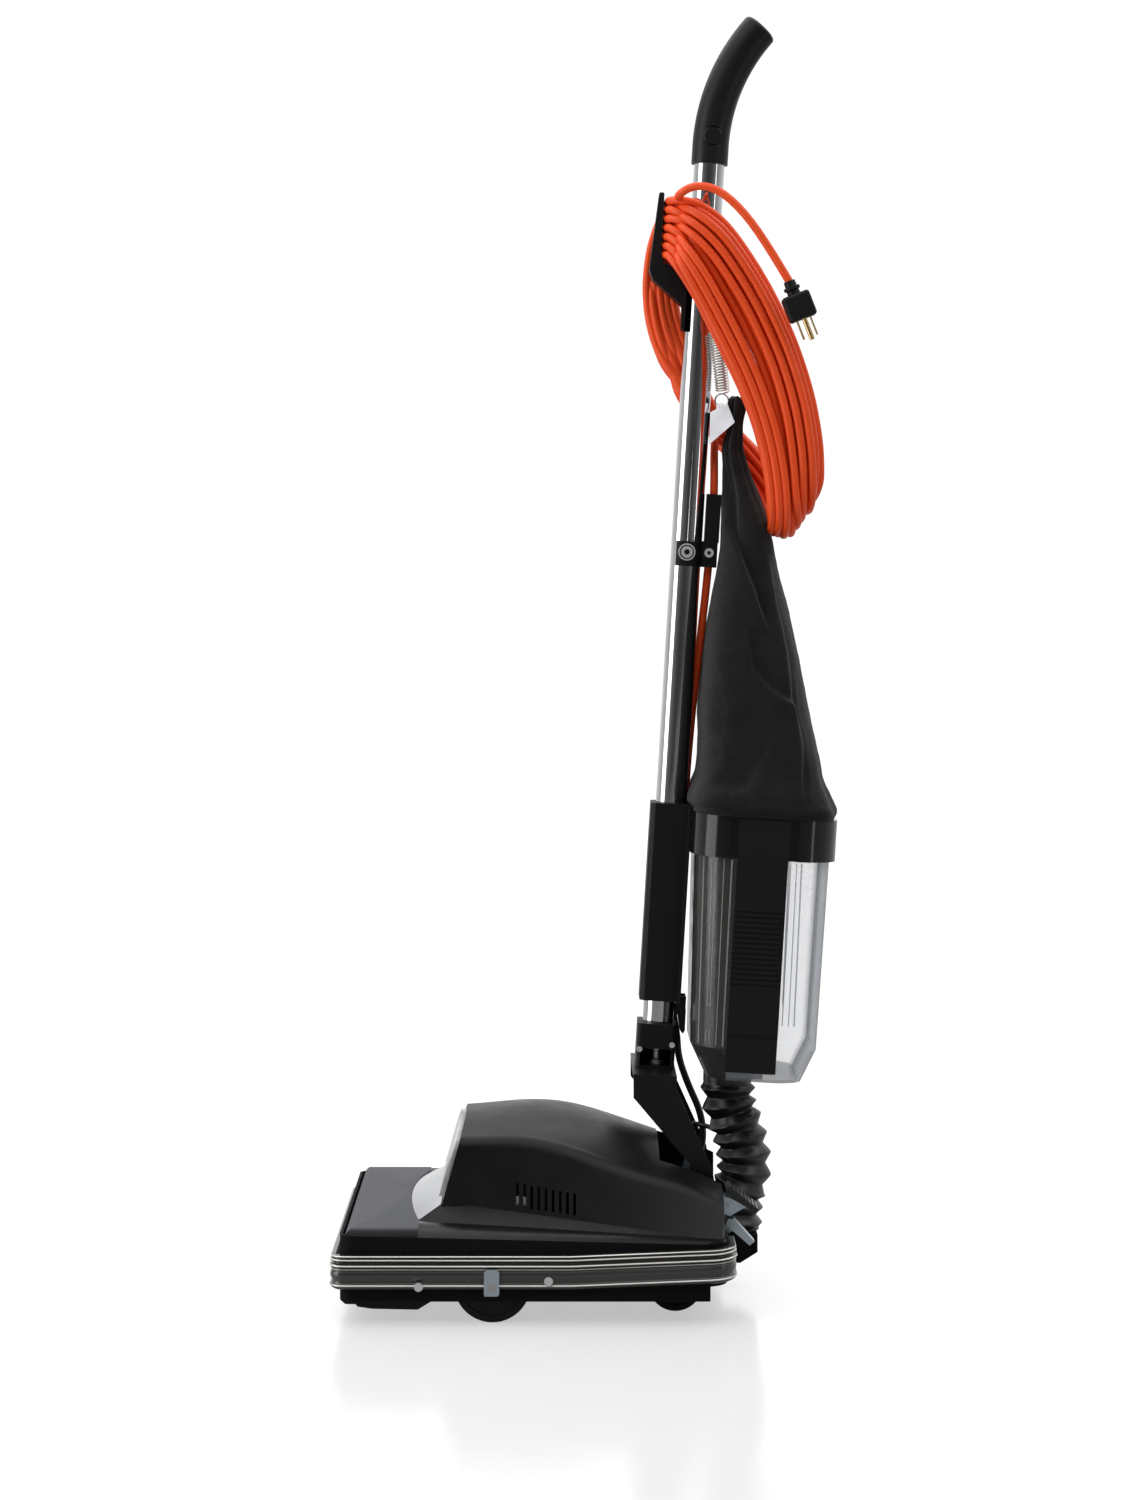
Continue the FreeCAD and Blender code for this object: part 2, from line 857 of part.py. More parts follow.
def make_bottom_plate():
    plate_body = prism(
        "bottom_plate_blank",
        "YZ_Plane",
        [
            (-218, 20),
            (-213.8, 16.5),
            (-205, 16.5),
            (-203, 14.2),
            (-190, 12.4),
            (-150, 11.6),
            (-136, 20),
        ],
        -150,
        300,
    )
    windows = []
    edges = (-142,) + BARS + (142,)
    for left, right in zip(edges, edges[1:]):
        windows.append(box("mouth_window", (left + 2, -208, 5), (right - left - 4, 50, 20)))
    start = (-brush_half - 1, brush_y, brush_z)
    windows.append(cylinder("roll_room", brush_core + 0.8, 2 * brush_half + 2, start, TO_X))
    return cut("bottom_plate_body", plate_body, *windows)


def make_brush_roll():
    """A core with a belt groove, and helical rows of tufts that miss the guard bars."""
    axis = FreeCAD.Placement(point(0, brush_y, brush_z), LEVEL)
    r = brush_core
    end = brush_half
    groove = brush_pulley - belt_thick
    lo = belt_x - belt_width / 2 - 1
    hi = belt_x + belt_width / 2 + 1
    core = turned(
        "brush_core",
        [(0, -end), (4, -end), (4, -end + 3), (r, -end + 3), (r, lo), (groove, lo), (groove, hi)]
        + [(r, hi), (r, end - 3), (4, end - 3), (4, end), (0, end)],
    )
    core.Placement = FreeCAD.Placement(axis.Base, TO_X)
    tufts = []
    count = 24
    for row in range(2):
        for i in range(count):
            x = -132 + 264 * i / (count - 1)
            near_bar = min(abs(x - bar) for bar in BARS) < 5.5
            near_belt = abs(x - float(belt_x)) < 10
            if near_bar or near_belt:
                continue
            turn = FreeCAD.Rotation(Vector(1, 0, 0), 180 * row + 150 * i / count)
            start = axis.Base + turn.multVec(Vector(0, 0, float(r) - 3)) + Vector(x, 0, 0)
            tufts.append(cylinder("tuft", 2.2, brush_tip - r + 3, start, turn))
    holes = [
        cylinder("tuft_hole", 2.2, 6, t.Placement.Base, t.Placement.Rotation) for t in tufts
    ]
    return cut("brush_roll_body", core, *holes), group("bristle_tufts_group", *tufts)


def make_wheel(name, radius, half_width, x, y):
    """A moulded wheel with a tread ring, a dished face and a plain bore."""
    r = radius
    bore = axle_r + running_gap
    profile = [
        (bore, -half_width),
        (r * 0.3, -half_width),
        (r * 0.34, -half_width + 1.5),
        (r - 6.5, -half_width + 1.5),
        (r - 5.5, -half_width + 0.3),
        (r - 1.5, -half_width + 0.3),
        (r, -half_width + 1.8),
        (r, half_width - 1.8),
        (r - 1.5, half_width - 0.3),
        (r - 5.5, half_width - 0.3),
        (r - 6.5, half_width - 1.5),
        (r * 0.34, half_width - 1.5),
        (r * 0.3, half_width),
        (bore, half_width),
    ]
    wheel = turned(name, profile)
    wheel.Placement = FreeCAD.Placement(point(x, y, r), TO_X)
    return wheel


def make_axles():
    stubs = []
    for side in SIDES:
        x = 122 if side > 0 else -167
        stubs.append(cylinder("front_stub", axle_r, 45, (x, front_wheel_y, front_wheel_r), TO_X))
        x = 80.5 if side > 0 else -114
        stubs.append(cylinder("rear_stub", axle_r, 33.5, (x, rear_wheel_y, rear_wheel_r), TO_X))
    return group("axles_group", *stubs)


def make_axle_clips():
    """Spring clips that lie on the guard and lock the front stubs."""
    clips = []
    outer = base_half + guard_depth
    for side in SIDES:
        x = outer if side > 0 else -outer - 2
        blank = prism(
            "clip_blank",
            "YZ_Plane",
            [(-90.5, 27), (-79, 27), (-77.6, 29), (-77.6, 48), (-80, 50.5), (-88, 50.5)]
            + [(-91, 48), (-91, 29)],
            float(x),
            2,
        )
        hole = cylinder("clip_hole", axle_r, 6, (float(x) - 2, front_wheel_y, front_wheel_r), TO_X)
        clips.append(cut("clip", blank, hole))
    return group("axle_clips_group", *clips)


def make_guard_screws():
    screws = []
    outer = base_half + guard_depth
    for y, z in ((-148.6, 35), (-34.3, 40)):
        for side in SIDES:
            x = outer - 0.4 if side > 0 else -outer - 1.6
            screws.append(cylinder("screw_head", 3.9, 2, (x, y, z), TO_X))
    return group("guard_screws_group", *screws)


# ----------------------------------------------------------------------- motor, fan, belt


def make_motor():
    at = (motor_y, motor_z)
    can = ring("motor_can", motor_r, motor_r - 2, 110, (-44, *at), TO_X)
    for_end = ring("motor_end", motor_r - 2, 9, 3, (63, *at), TO_X)
    back_end = ring("motor_end", motor_r - 2, 9, 3, (-44, *at), TO_X)
    housing = fuse("motor_housing_body", can, for_end, back_end)
    stator = ring("field_coil_body", motor_r - 2, 24, 62, (-24, *at), TO_X)
    seats = [
        ring("bearing", 9, shaft_r + running_gap, 6, (63, *at), TO_X),
        ring("bearing", 9, shaft_r + running_gap, 6, (-47, *at), TO_X),
    ]
    for side in SIDES:
        x = float(brush_half) - 2 if side > 0 else -153.4
        seats.append(ring("brush_bearing", 9.6, 4.05, 10.4, (x, brush_y, brush_z), TO_X))
    bearings = group("bearings_group", *seats)
    shaft = fuse(
        "motor_shaft_body",
        cylinder("shaft_rod", shaft_r, 185.4, (-84, *at), TO_X),
        cylinder("shaft_pulley", motor_pulley - 0.3, 12, (belt_x - 6, *at), TO_X),
        cylinder("shaft_flange", motor_pulley + 2, 1.4, (belt_x - 7.4, *at), TO_X),
        cylinder("shaft_flange", motor_pulley + 2, 1.4, (belt_x + 6, *at), TO_X),
    )
    armature = fuse(
        "armature_body",
        ring("armature_stack", 23.4, shaft_r, 58, (-22, *at), TO_X),
        ring("commutator", 13, shaft_r, 18, (38, *at), TO_X),
    )
    return housing, stator, bearings, shaft, armature


FAN_R = 37.5


def make_fan():
    at = (motor_y, motor_z)
    hub = ring("fan_hub", 9, shaft_r, 26, (-82, *at), TO_X)
    disc = ring("fan_disc", FAN_R, 8, 2, (-58, *at), TO_X)
    blades = []
    for i in range(8):
        blade = box("fan_blade", (0, 0, 0), (20, 2, FAN_R - 9.5))
        turn = FreeCAD.Rotation(Vector(1, 0, 0), 45 * i)
        shift = turn.multVec(Vector(-77, 3, 9))
        blade.Placement = FreeCAD.Placement(point(0, *at) + shift, turn)
        blades.append(blade)
    return fuse("fan_body", hub, disc, *blades)


def make_fan_housing():
    at = (motor_y, motor_z)
    case = ring("fan_case", 49, 46.5, 37, (-87, *at), TO_X)
    front = ring("fan_case_eye", 47, 20, 2.4, (-87, *at), TO_X)
    back = ring("fan_case_back", 47, 12, 2.4, (-52.4, *at), TO_X)
    body = fuse("fan_case_all", case, front, back)
    outlet = box("fan_outlet", (-84.4, -40, 40), (31, 40, 31))
    return cut("fan_housing_body", body, outlet)


def make_suction_duct():
    """A flat duct from the brush chamber to the fan's eye."""
    low = cut(
        "duct_low",
        box("duct_low_outer", (-108, -149.4, 30), (20.6, 114, 48)),
        box("duct_low_inner", (-106, -155, 32), (16.6, 117.6, 44)),
    )
    high = cut(
        "duct_high",
        box("duct_high_outer", (-94, -86, 76), (6.6, 50.6, 42)),
        box("duct_high_inner", (-92.4, -84, 70), (3.4, 46.6, 46)),
    )
    both = fuse("duct_both", low, high)
    through = box("duct_through", (-92.4, -84, 72), (3.4, 46, 10))
    eye = cylinder("duct_eye", 19, 12, (-90, motor_y, motor_z), TO_X)
    return cut("suction_duct_body", both, through, eye)


def make_exhaust_duct():
    """Carries the air and dirt from the fan to the hose port."""
    return swept(
        "exhaust_duct",
        [(-68.5, -32, 57), (-68.5, 6, 52), (-60, 44, 46), (-24, 76, 44), (0, 88, 44), (0, 106.2, 44)],
        13,
        11.4,
        radii=[60, 50, 40, 14],
    )


def make_hose_port():
    block = prism(
        "port_block",
        "YZ_Plane",
        [(109.3, 26), (142, 26), (158, 36), (158, 52), (109.3, 52)],
        -24,
        48,
    )
    spigot = cylinder("port_spigot", spigot_r, 14, (0, 138, 52))
    bore = cylinder("port_bore", spigot_r - 2, 60, (0, 138, 32))
    inlet = cylinder("port_inlet", 13, 30, (0, 106, 44), TO_Y)
    return cut("hose_port_body", fuse("port_solid", block, spigot), bore, inlet)


def make_belt():
    """A flat belt round the motor pulley and the brush roll's groove."""
    gap = 0.35
    y0, z0 = float(brush_y), float(brush_z)
    y1, z1 = float(motor_y), float(motor_z)
    r0 = float(brush_pulley) - float(belt_thick) + gap
    r1 = float(motor_pulley) - 0.3 + gap
    along = Vector(0, y1 - y0, z1 - z0)
    length = along.Length
    along.normalize()
    side = Vector(0, -along.z, along.y)
    tilt = (r0 - r1) / length

    def loop(extra):
        a, b = r0 + extra, r1 + extra
        lean_in = along * tilt
        flat = math.sqrt(1 - tilt**2)
        up0 = Vector(0, y0, z0) + (lean_in + side * flat) * a
        dn0 = Vector(0, y0, z0) + (lean_in - side * flat) * a
        up1 = Vector(0, y1, z1) + (lean_in + side * flat) * b
        dn1 = Vector(0, y1, z1) + (lean_in - side * flat) * b
        far0 = Vector(0, y0, z0) - along * a
        far1 = Vector(0, y1, z1) + along * b
        shift = Vector(float(belt_x) - float(belt_width) / 2, 0, 0)
        up0, dn0, up1, dn1, far0, far1 = (v + shift for v in (up0, dn0, up1, dn1, far0, far1))
        return closed_wire([up0, (far0, dn0), dn1, (far1, up1)])

    outer = extrusion("belt_outer", loop(float(belt_thick)), Vector(1, 0, 0), belt_width)
    inner = extrusion("belt_inner", loop(0), Vector(1, 0, 0), belt_width)
    return cut("drive_belt_body", outer, inner)


def make_headlight():
    bulb = doc.addObject("Part::Sphere", "bulb_glass")
    bulb.Radius = 8
    bulb.Placement = FreeCAD.Placement(Vector(0, -107, 134), LEVEL)
    base = cylinder("bulb_base", 5, 12, (0, -101, 134), TO_Y)
    return fuse("headlight_bulb_body", bulb, base)


# ------------------------------------------------------------- rear brackets and the pedal


def make_rear_brackets():
    plates = []
    for x in (57, -60):
        blank = prism(
            "pivot_plate",
            "YZ_Plane",
            [(88, 23), (TAIL_Y - 2.6, 23), (TAIL_Y - 2.6, TAIL_LOW + 3), (120, TAIL_LOW + 3)]
            + [(120, 92), (pivot_y + 12, pivot_z), (pivot_y - 12, pivot_z), (88, 92)],
            x,
            3,
        )
        round_top = cylinder("pivot_round", 12, 3, (x, pivot_y, pivot_z), TO_X)
        hole = cylinder("pivot_hole", pin_r, 5, (x - 1, pivot_y, pivot_z), TO_X)
        plates.append(cut("pivot_bracket", fuse("pivot_both", blank, round_top), hole))
    for x in (74, 98):
        ear = prism(
            "pedal_ear",
            "YZ_Plane",
            [(122, 84), (128, 88), (131, 95), (128, 101), (122, 101)],
            x,
            2,
        )
        hole = cylinder("pedal_ear_hole", 2.5, 4, (x - 1, 126, 95), TO_X)
        plates.append(cut("pedal_bracket", ear, hole))
    return group("rear_brackets_group", *plates)


def make_hinge_pins():
    pins = []
    for side in SIDES:
        x = 55.5 if side > 0 else -67.5
        head = 66.3 if side > 0 else -68.3
        pins.append(
            fuse(
                "pivot_pin",
                cylinder("pin_rod", pin_r, 12, (x, pivot_y, pivot_z), TO_X),
                cylinder("pin_head", 6.5, 2, (head, pivot_y, pivot_z), TO_X),
            )
        )
    pins.append(cylinder("pedal_pin", 2.5, 27, (73.5, 126, 95), TO_X))
    return group("hinge_pins_group", *pins)


def make_pedal():
    cheeks = []
    for x in (76.5, 95):
        cheek = prism(
            "pedal_cheek",
            "YZ_Plane",
            [(122.6, 102.6), (126, 84.6), (129, 84), (143, 92), (130, 99.5)],
            x,
            2.4,
        )
        hole = cylinder("cheek_hole", 2.5 + running_gap, 4, (x - 1, 126, 95), TO_X)
        cheeks.append(cut("cheek", cheek, hole))
    web = prism(
        "pedal_web",
        "YZ_Plane",
        [(133.2, 98), (143.5, 92.1), (142.3, 90.2), (132, 96.1)],
        78.9,
        16.1,
    )
    lever = fuse("pedal_lever_body", *cheeks, web)
    slab = prism(
        "pad_slab",
        "YZ_Plane",
        [(128.3, 111.5), (154.2, 90.9), (151.2, 87), (143.5, 92.6), (130.5, 100.2), (125.2, 107.5)],
        70,
        32,
    )
    grooves = []
    slope = math.degrees(math.atan2(111.5 - 90.9, 154.2 - 128.3))
    for i in range(7):
        share = (i + 0.8) / 7.6
        y = 128.3 + (154.2 - 128.3) * share
        z = 111.5 + (90.9 - 111.5) * share
        groove = box("pad_groove", (0, 0, 0), (34, 1.6, 2.4))
        turn = FreeCAD.Rotation(Vector(1, 0, 0), -slope)
        groove.Placement = FreeCAD.Placement(
            Vector(69, y, z) + turn.multVec(Vector(0, -0.8, -1.2)), turn
        )
        grooves.append(groove)
    return lever, cut("pedal_pad_body", slab, *grooves)


def make_detent_bar():
    """A flat plated bar behind the rear wall that carries the handle's detent spring."""
    return prism(
        "detent_bar_body",
        "YZ_Plane",
        [(124, 64), (124, 73), (127, 80.5), (132.6, 80.5), (151, 60), (146.6, 56.6), (131, 70)],
        80,
        14,
    )


# ------------------------------------------------------------ the handle, in its own frame


def make_yoke():
    """A bail of bent plate: two arms down to the pivots and a bridge on top."""
    parts = []
    for side in SIDES:
        x = arm_inner if side > 0 else -arm_inner - plate
        arm = prism(
            "yoke_arm",
            "YZ_Plane",
            [(-67.7, yoke_top), (-28, yoke_top), (-27.8, 90.6), (9.3, 19.9), (13, 4), (13, 0)]
            + [(-13, 0), (-13, 6), (-11, 23.3), (-66.4, 81)],
            float(x),
            plate,
        )
        parts.append(arm)
        parts.append(cylinder("yoke_eye", 13, plate, (float(x), 0, 0), TO_X))
    parts.append(
        box(
            "yoke_bridge",
            (-arm_inner, -67.7, yoke_top - plate),
            (2 * arm_inner, 39.7, plate),
        )
    )
    solid = fuse("yoke_solid", *parts)
    holes = [cylinder("yoke_hole", pin_r + running_gap, 10, (x, 0, 0), TO_X) for x in (58, -68)]
    bolt = cylinder("yoke_bolt_hole", 4, 10, (0, tube_u, yoke_top - 6))
    return cut("yoke_body", solid, *holes, bolt)


SOCKET_WINDOW = (104.6, 120.5)


def make_socket():
    """The moulded socket on the bridge that the lower tube stands in."""
    blank = prism(
        "socket_blank",
        "XY_Plane",
        [(-23, -65), (23, -65), (23, -29.3), (-23, -29.3)],
        yoke_top,
        40.6,
    )
    rounded(blank, 4, lambda e: is_along(e, Vector(0, 0, 1)))
    low, high = SOCKET_WINDOW
    window = box("socket_window", (-17, -61.5, low), (47, 28.5, high - low))
    seat = cylinder("socket_seat", tube_r, 40, (0, tube_u, high + 1.5))
    shank = cylinder("socket_shank_hole", 4, 8, (0, tube_u, yoke_top - 2))
    return cut("tube_socket_body", blank, window, seat, shank)


def make_handle_bolts():
    """The plated fasteners of the handle, each a solid of its own."""
    low = SOCKET_WINDOW[0]
    spool = turned(
        "socket_spool",
        [(0, 0), (9, 0), (9, 1.6), (7.5, 1.6), (7.5, 3.4), (4.6, 4.4), (4.6, 11.6), (6.4, 12.6)]
        + [(6.4, 15.6), (0, 15.6)],
    )
    spool.Placement = FreeCAD.Placement(point(0, tube_u, low), LEVEL)
    shank = cylinder("socket_shank", 4, low - 98, (0, tube_u, 98))
    nut = cylinder("socket_nut", 7, 1.6, (0, tube_u, 98.05))
    bolts = [fuse("socket_bolt", spool, shank, nut)]
    for side in SIDES:
        x = 23 if side > 0 else -24.2
        bolts.append(cylinder("socket_screw", 2.6, 1.2, (x, -32.6, 125), TO_X))
        bolts.append(cylinder("socket_screw", 2.6, 1.2, (x, -62.4, 119.6), TO_X))
    bolts.append(
        fuse(
            "tube_bolt",
            cylinder("tube_bolt_rod", 2.5, 38, (-19, tube_u, 580), TO_X),
            cylinder("tube_washer", 8, 1.2, (17, tube_u, 580), TO_X),
            cylinder("tube_bolt_head", 5.4, 3.2, (18.2, tube_u, 580), TO_X),
            cylinder("tube_nut", 5.4, 3, (-20, tube_u, 580), TO_X),
        )
    )
    bolts.append(cylinder("clamp_screw", 4.3, 2.2, (9, -25.2, 580.4), TO_X))
    return group("handle_bolts_group", *bolts)


def make_tubes():
    bolt = cylinder("tube_bolt_hole", 2.5, 60, (-30, tube_u, 580), TO_X)
    bore = tube_r - tube_wall
    foot = SOCKET_WINDOW[1] + 1.5
    lower = ring("lower_tube_body", tube_r, bore, joint_w - foot, (0, tube_u, foot))
    upper = fuse(
        "upper_tube_whole",
        ring("upper_tube_length", tube_r, bore, 950 - joint_w, (0, tube_u, joint_w)),
        ring("upper_tube_spigot", bore, bore - 1, 46, (0, tube_u, joint_w - 44)),
    )
    return lower, cut("upper_tube_body", upper, bolt)


def make_grip():
    """A straight sleeve on the tube that sweeps back into a curved hand grip."""
    body = doc.addObject("PartDesign::Body", "grip_blank")
    path = sketch_on(body, "YZ_Plane", 0)
    turn = math.radians(float(grip_turn))
    u0 = float(tube_u)
    centre = (u0 + float(grip_bend_r), float(grip_bend_w))
    end = (
        centre[0] - float(grip_bend_r) * math.cos(turn),
        centre[1] + float(grip_bend_r) * math.sin(turn),
    )
    path.addGeometry(
        Part.LineSegment(point(u0, grip_low, 0), point(u0, grip_bend_w, 0))
    )
    circle = Part.Circle(point(*centre, 0), Vector(0, 0, 1), float(grip_bend_r))
    path.addGeometry(Part.ArcOfCircle(circle, math.pi - turn, math.pi))
    path.addConstraint(Sketcher.Constraint("Vertical", 0))
    path.addConstraint(Sketcher.Constraint("Tangent", 0, 2, 1, 2))
    for kind, geo, pos, value in (
        ("DistanceX", 0, 1, tube_u),
        ("DistanceY", 0, 1, grip_low),
        ("DistanceY", 0, 2, grip_bend_w),
    ):
        number = path.addConstraint(Sketcher.Constraint(kind, -1, 1, geo, pos, float(value)))
        path.setExpression(f"Constraints[{number}]", value.formula)
    number = path.addConstraint(Sketcher.Constraint("Radius", 1, float(grip_bend_r)))
    path.setExpression(f"Constraints[{number}]", grip_bend_r.formula)
    path.addConstraint(Sketcher.Constraint("DistanceY", -1, 1, 1, 1, end[1]))
    section = sketch_on(body, "XY_Plane", grip_low)
    section.addGeometry(Part.Circle(point(0, tube_u, 0), Vector(0, 0, 1), float(grip_r)))
    number = section.addConstraint(Sketcher.Constraint("DistanceY", -1, 1, 0, 3, float(tube_u)))
    section.setExpression(f"Constraints[{number}]", tube_u.formula)
    section.addConstraint(Sketcher.Constraint("PointOnObject", 0, 3, -2))
    number = section.addConstraint(Sketcher.Constraint("Radius", 0, float(grip_r)))
    section.setExpression(f"Constraints[{number}]", grip_r.formula)
    pipe = body.newObject("PartDesign::AdditivePipe", "grip_pipe")
    pipe.Profile = section
    pipe.Spine = path
    body.Tip = pipe
    top = Vector(0, end[0], end[1])
    rounded(
        body,
        4,
        lambda e: e.Length > 60 and e.BoundBox.Center.distanceToPoint(top) < 10,
    )
    bore = cylinder("grip_bore", tube_r, 950 - grip_low, (0, tube_u, grip_low))
    well = cylinder("button_well", button_r + 0.3, 30, (-9, tube_u + 1, button_w), TO_X)
    return cut("grip_body", body, bore, well)


def make_switch():
    body = box("switch_body_box", (-8.7, tube_u + 1 - 6, button_w - 6), (15, 12, 12))
    button = turned("switch_button_disc", [(0, 0), (button_r, 0), (button_r, 5.4), (7.6, 6.6), (0, 6.6)])
    button.Placement = FreeCAD.Placement(point(10, tube_u + 1, button_w), TO_X)
    return body, button


def make_cord_hook():
    blank = prism(
        "hook_blank",
        "YZ_Plane",
        [(-60.4, 784), (-63.6, 787), (-64, 807.5), (-92.4, 830), (-96.2, 839), (-91.2, 911)]
        + [(-86.4, 911), (-86.4, 858), (-84.5, 847), (-71, 841.5), (-60.4, 826)],
        -13,
        26,
    )
    rounded(
        blank,
        1.6,
        lambda e: is_along(e, Vector(1, 0, 0)) and e.BoundBox.YMax < -60.5,
    )
    holes = [cylinder("hook_hole", 2, 12, (0, -72, w), TO_Y) for w in (794,)]
    return cut("cord_hook_body", blank, *holes)


def make_cup_bracket():
    """The box that clamps the tube and carries the bezel's flange and the latch ears."""
    cover = prism(
        "bracket_cover",
        "XY_Plane",
        [(-22, -61), (-18, -65), (18, -65), (22, -61), (22, -30.5), (40, -30.5), (40, -27.8)]
        + [(-40, -27.8), (-40, -30.5), (-22, -30.5)],
        bracket_low,
        bracket_top - bracket_low,
    )
    ears = [box("latch_ear", (x, -30.5, 152), (2.2, 9, 17)) for x in (9, -11.2)]
    tube = cylinder("bracket_bore", tube_r, 250, (0, tube_u, 130))
    pin = cylinder("latch_pin_hole", 1.6, 30, (-15, -25, 157.5), TO_X)
    return cut("cup_bracket_body", fuse("bracket_solid", cover, *ears), tube, pin)


def make_latch():
    body = prism(
        "latch_blank",
        "YZ_Plane",
        [(-28.6, 162), (-24, 162), (-21, 157), (-20.8, 137), (-22.6, 133.5), (-25.4, 137)]
        + [(-28.6, 152)],
        -8.6,
        17.2,
    )
    rounded(body, 1, lambda e: is_along(e, Vector(1, 0, 0)))
    pin = cylinder("latch_pin", 1.6 - running_gap, 22.4, (-11.2, -25, 157.5), TO_X)
    return fuse("cup_latch_body", body, pin)


BAND_FRONT, BAND_REAR = 13.8, 59.8


def make_bezel():
    """The frame that the cup's rim closes against and the bag's hem grips."""

    def block(name, grow, low, high):
        sections = [
            rounded_rectangle(
                -27.5 - grow, 105.5 + grow, 84.5 + grow, 43 + grow, w
            )
            for w in (low, high)
        ]
        return loft(name, sections)

    outer = block("bezel_outer", 0, float(bezel_low), float(bezel_top))
    inner = loft(
        "bezel_inner",
        [rounded_rectangle(-23.5, 101.5, 76.5, 37, w) for w in (300, 350)],
    )
    notches = []
    for side in SIDES:
        x = 80 if side > 0 else -100
        notches.append(
            box("band_notch", (x, BAND_FRONT - 8.5, 290), (20, BAND_REAR - BAND_FRONT + 17, 70))
        )
    return cut("cup_bezel_body", outer, inner, *notches)


def cup_stack(name, inset, top):
    """The cup's upper box and its tapered foot, inset all round."""
    r = float(cup_round) - inset
    upper = loft(
        name + "_box",
        [
            rounded_rectangle(-17 + inset, 98.8 - inset, 78 - inset, r, cup_knee),
            rounded_rectangle(cup_front + inset, cup_rear - inset, cup_half - inset, r, top),
        ],
    )
    foot = loft(
        name + "_foot",
        [
            rounded_rectangle(-1 + inset, 86.5 - inset, 66 - inset, 30 - inset, cup_low + inset),
            rounded_rectangle(-17 + inset, 98.8 - inset, 78 - inset, r, cup_knee),
        ],
    )
    return fuse(name, upper, foot)


def make_cup():
    outer = cup_stack("cup_outer", 0, float(cup_top))
    inner = cup_stack("cup_inner", float(cup_skin), float(cup_top) + 0.01)
    inlet = cylinder("cup_inlet", spigot_r, 20, (0, inlet_u, cup_low - 5))
    return cut("dirt_cup_body", outer, inner, inlet)


def make_cup_bands():
    """The grooved side straps that the hand grips to free the cup."""
    bands = []
    for side in SIDES:
        x = side * 80.3
        out = side * 84.4
        low_x = side * 78.3
        low_out = side * 82.8
        corners = [(x, 146), (x, 342.5), (out, 342.5), (out, 147), (low_out, 145)]
        corners += [(low_out, 113.5), (low_out - side, 112), (low_x - side * 6.6, 112)]
        corners += [(low_x, 131.6)]
        strap = prism("band", "XZ_Plane", corners, -BAND_REAR, BAND_REAR - BAND_FRONT)
        grooves = []
        for i in range(15):
            left = out - 1.2 if side > 0 else out - 1
            grooves.append(
                box("band_groove", (left, BAND_FRONT - 1, 191 + 4.7 * i), (2.2, 48, 2.3))
            )
        bands.append(cut("side_band", strap, *grooves))
    return cut("cup_bands_body", group("bands", *bands), cup_stack("band_seat", 0, 305.2))


def make_intake():
    """The smoked front chamber of the cup, from the hose up to the cup's mouth."""

    def chamber(name, inset, top):
        foot = inlet_u + spigot_r + 1 - inset
        rear = 17 - inset
        outline = [(-40, 100), (foot, 100), (foot, 112), (rear, 140), (rear, top), (-40, top)]
        room = cup_stack(name + "_room", float(cup_skin) + 0.05 + inset, float(cup_top))
        return common(name, prism(name + "_side", "YZ_Plane", outline, -90, 180), room)

    spigot = cylinder("intake_spigot", spigot_r, 18, (0, inlet_u, 88))
    bore = cylinder("intake_bore", spigot_r - 3.4, 20, (0, inlet_u, 87.5))
    outer = fuse("intake_outer", chamber("intake_chamber", 0, 304), spigot)
    inner = fuse("intake_inner", chamber("intake_hollow", 2, 304.4), bore)
    return cut("intake_duct_body", outer, inner)


def bag_section(u0, u1, half, w):
    radius = min(44, half * 0.8, (u1 - u0) * 0.42)
    return rounded_rectangle(u0, u1, half, radius, w)


BAG_STATIONS = (
    (-27.2, 104, 87, 343.3),
    (-27.2, 104.6, 88, 352),
    (-26, 101, 85, 364),
    (-23, 87, 75, 402),
    (-22, 70, 68, 462),
    (-20, 54, 55, 522),
    (-15.5, 35, 38, 592),
    (-15, 21, 26, 632),
    (-17, 6, 16, 663),
    (-19, 0.4, 12, 679),
)


def bag_cone(name, grow):
    """The bag's soft cone, larger by grow all round."""
    sections = [bag_section(a - grow, b + grow, c + grow, w) for a, b, c, w in BAG_STATIONS]
    return loft(name, sections, ruled=False)


def make_bag():
    """The cloth filter bag: a soft cone from the bezel up to the clip."""
    cone = bag_cone("bag_cone", 0)
    tail = box("bag_tail", (-10, -8.6, 677), (20, 8.4, 49.5))
    return fuse("cloth_bag_body", cone, tail)


def make_bag_clip():
    """A folded plate that grips the bag's gathered top, with a wire ring in its lip."""
    shell = prism(
        "clip_outer",
        "YZ_Plane",
        [(-32, 710.4), (-16.8, 719.7), (-8.8, 702.5), (-31, 680.9)],
        -12,
        24,
    )
    hollow = prism(
        "clip_inner",
        "YZ_Plane",
        [(-30.8, 709.6), (-17.3, 717.9), (-7, 700), (-31, 676)],
        -10.8,
        21.6,
    )
    ring_wire = doc.addObject("Part::Torus", "clip_ring")
    ring_wire.Radius1 = 6.2
    ring_wire.Radius2 = 0.8
    ring_wire.Placement = FreeCAD.Placement(
        Vector(0, -21.4, 722.6), FreeCAD.Rotation(Vector(0, 1, 0), 90)
    )
    eye = cut(
        "clip_eye",
        box("clip_eye_plate", (-0.8, -26, 712), (1.6, 7, 8)),
        cylinder("clip_eye_hole", 1.2, 6, (-3, -22.2, 717), TO_X),
    )
    return cut("bag_clip_plate", shell, hollow), ring_wire, eye


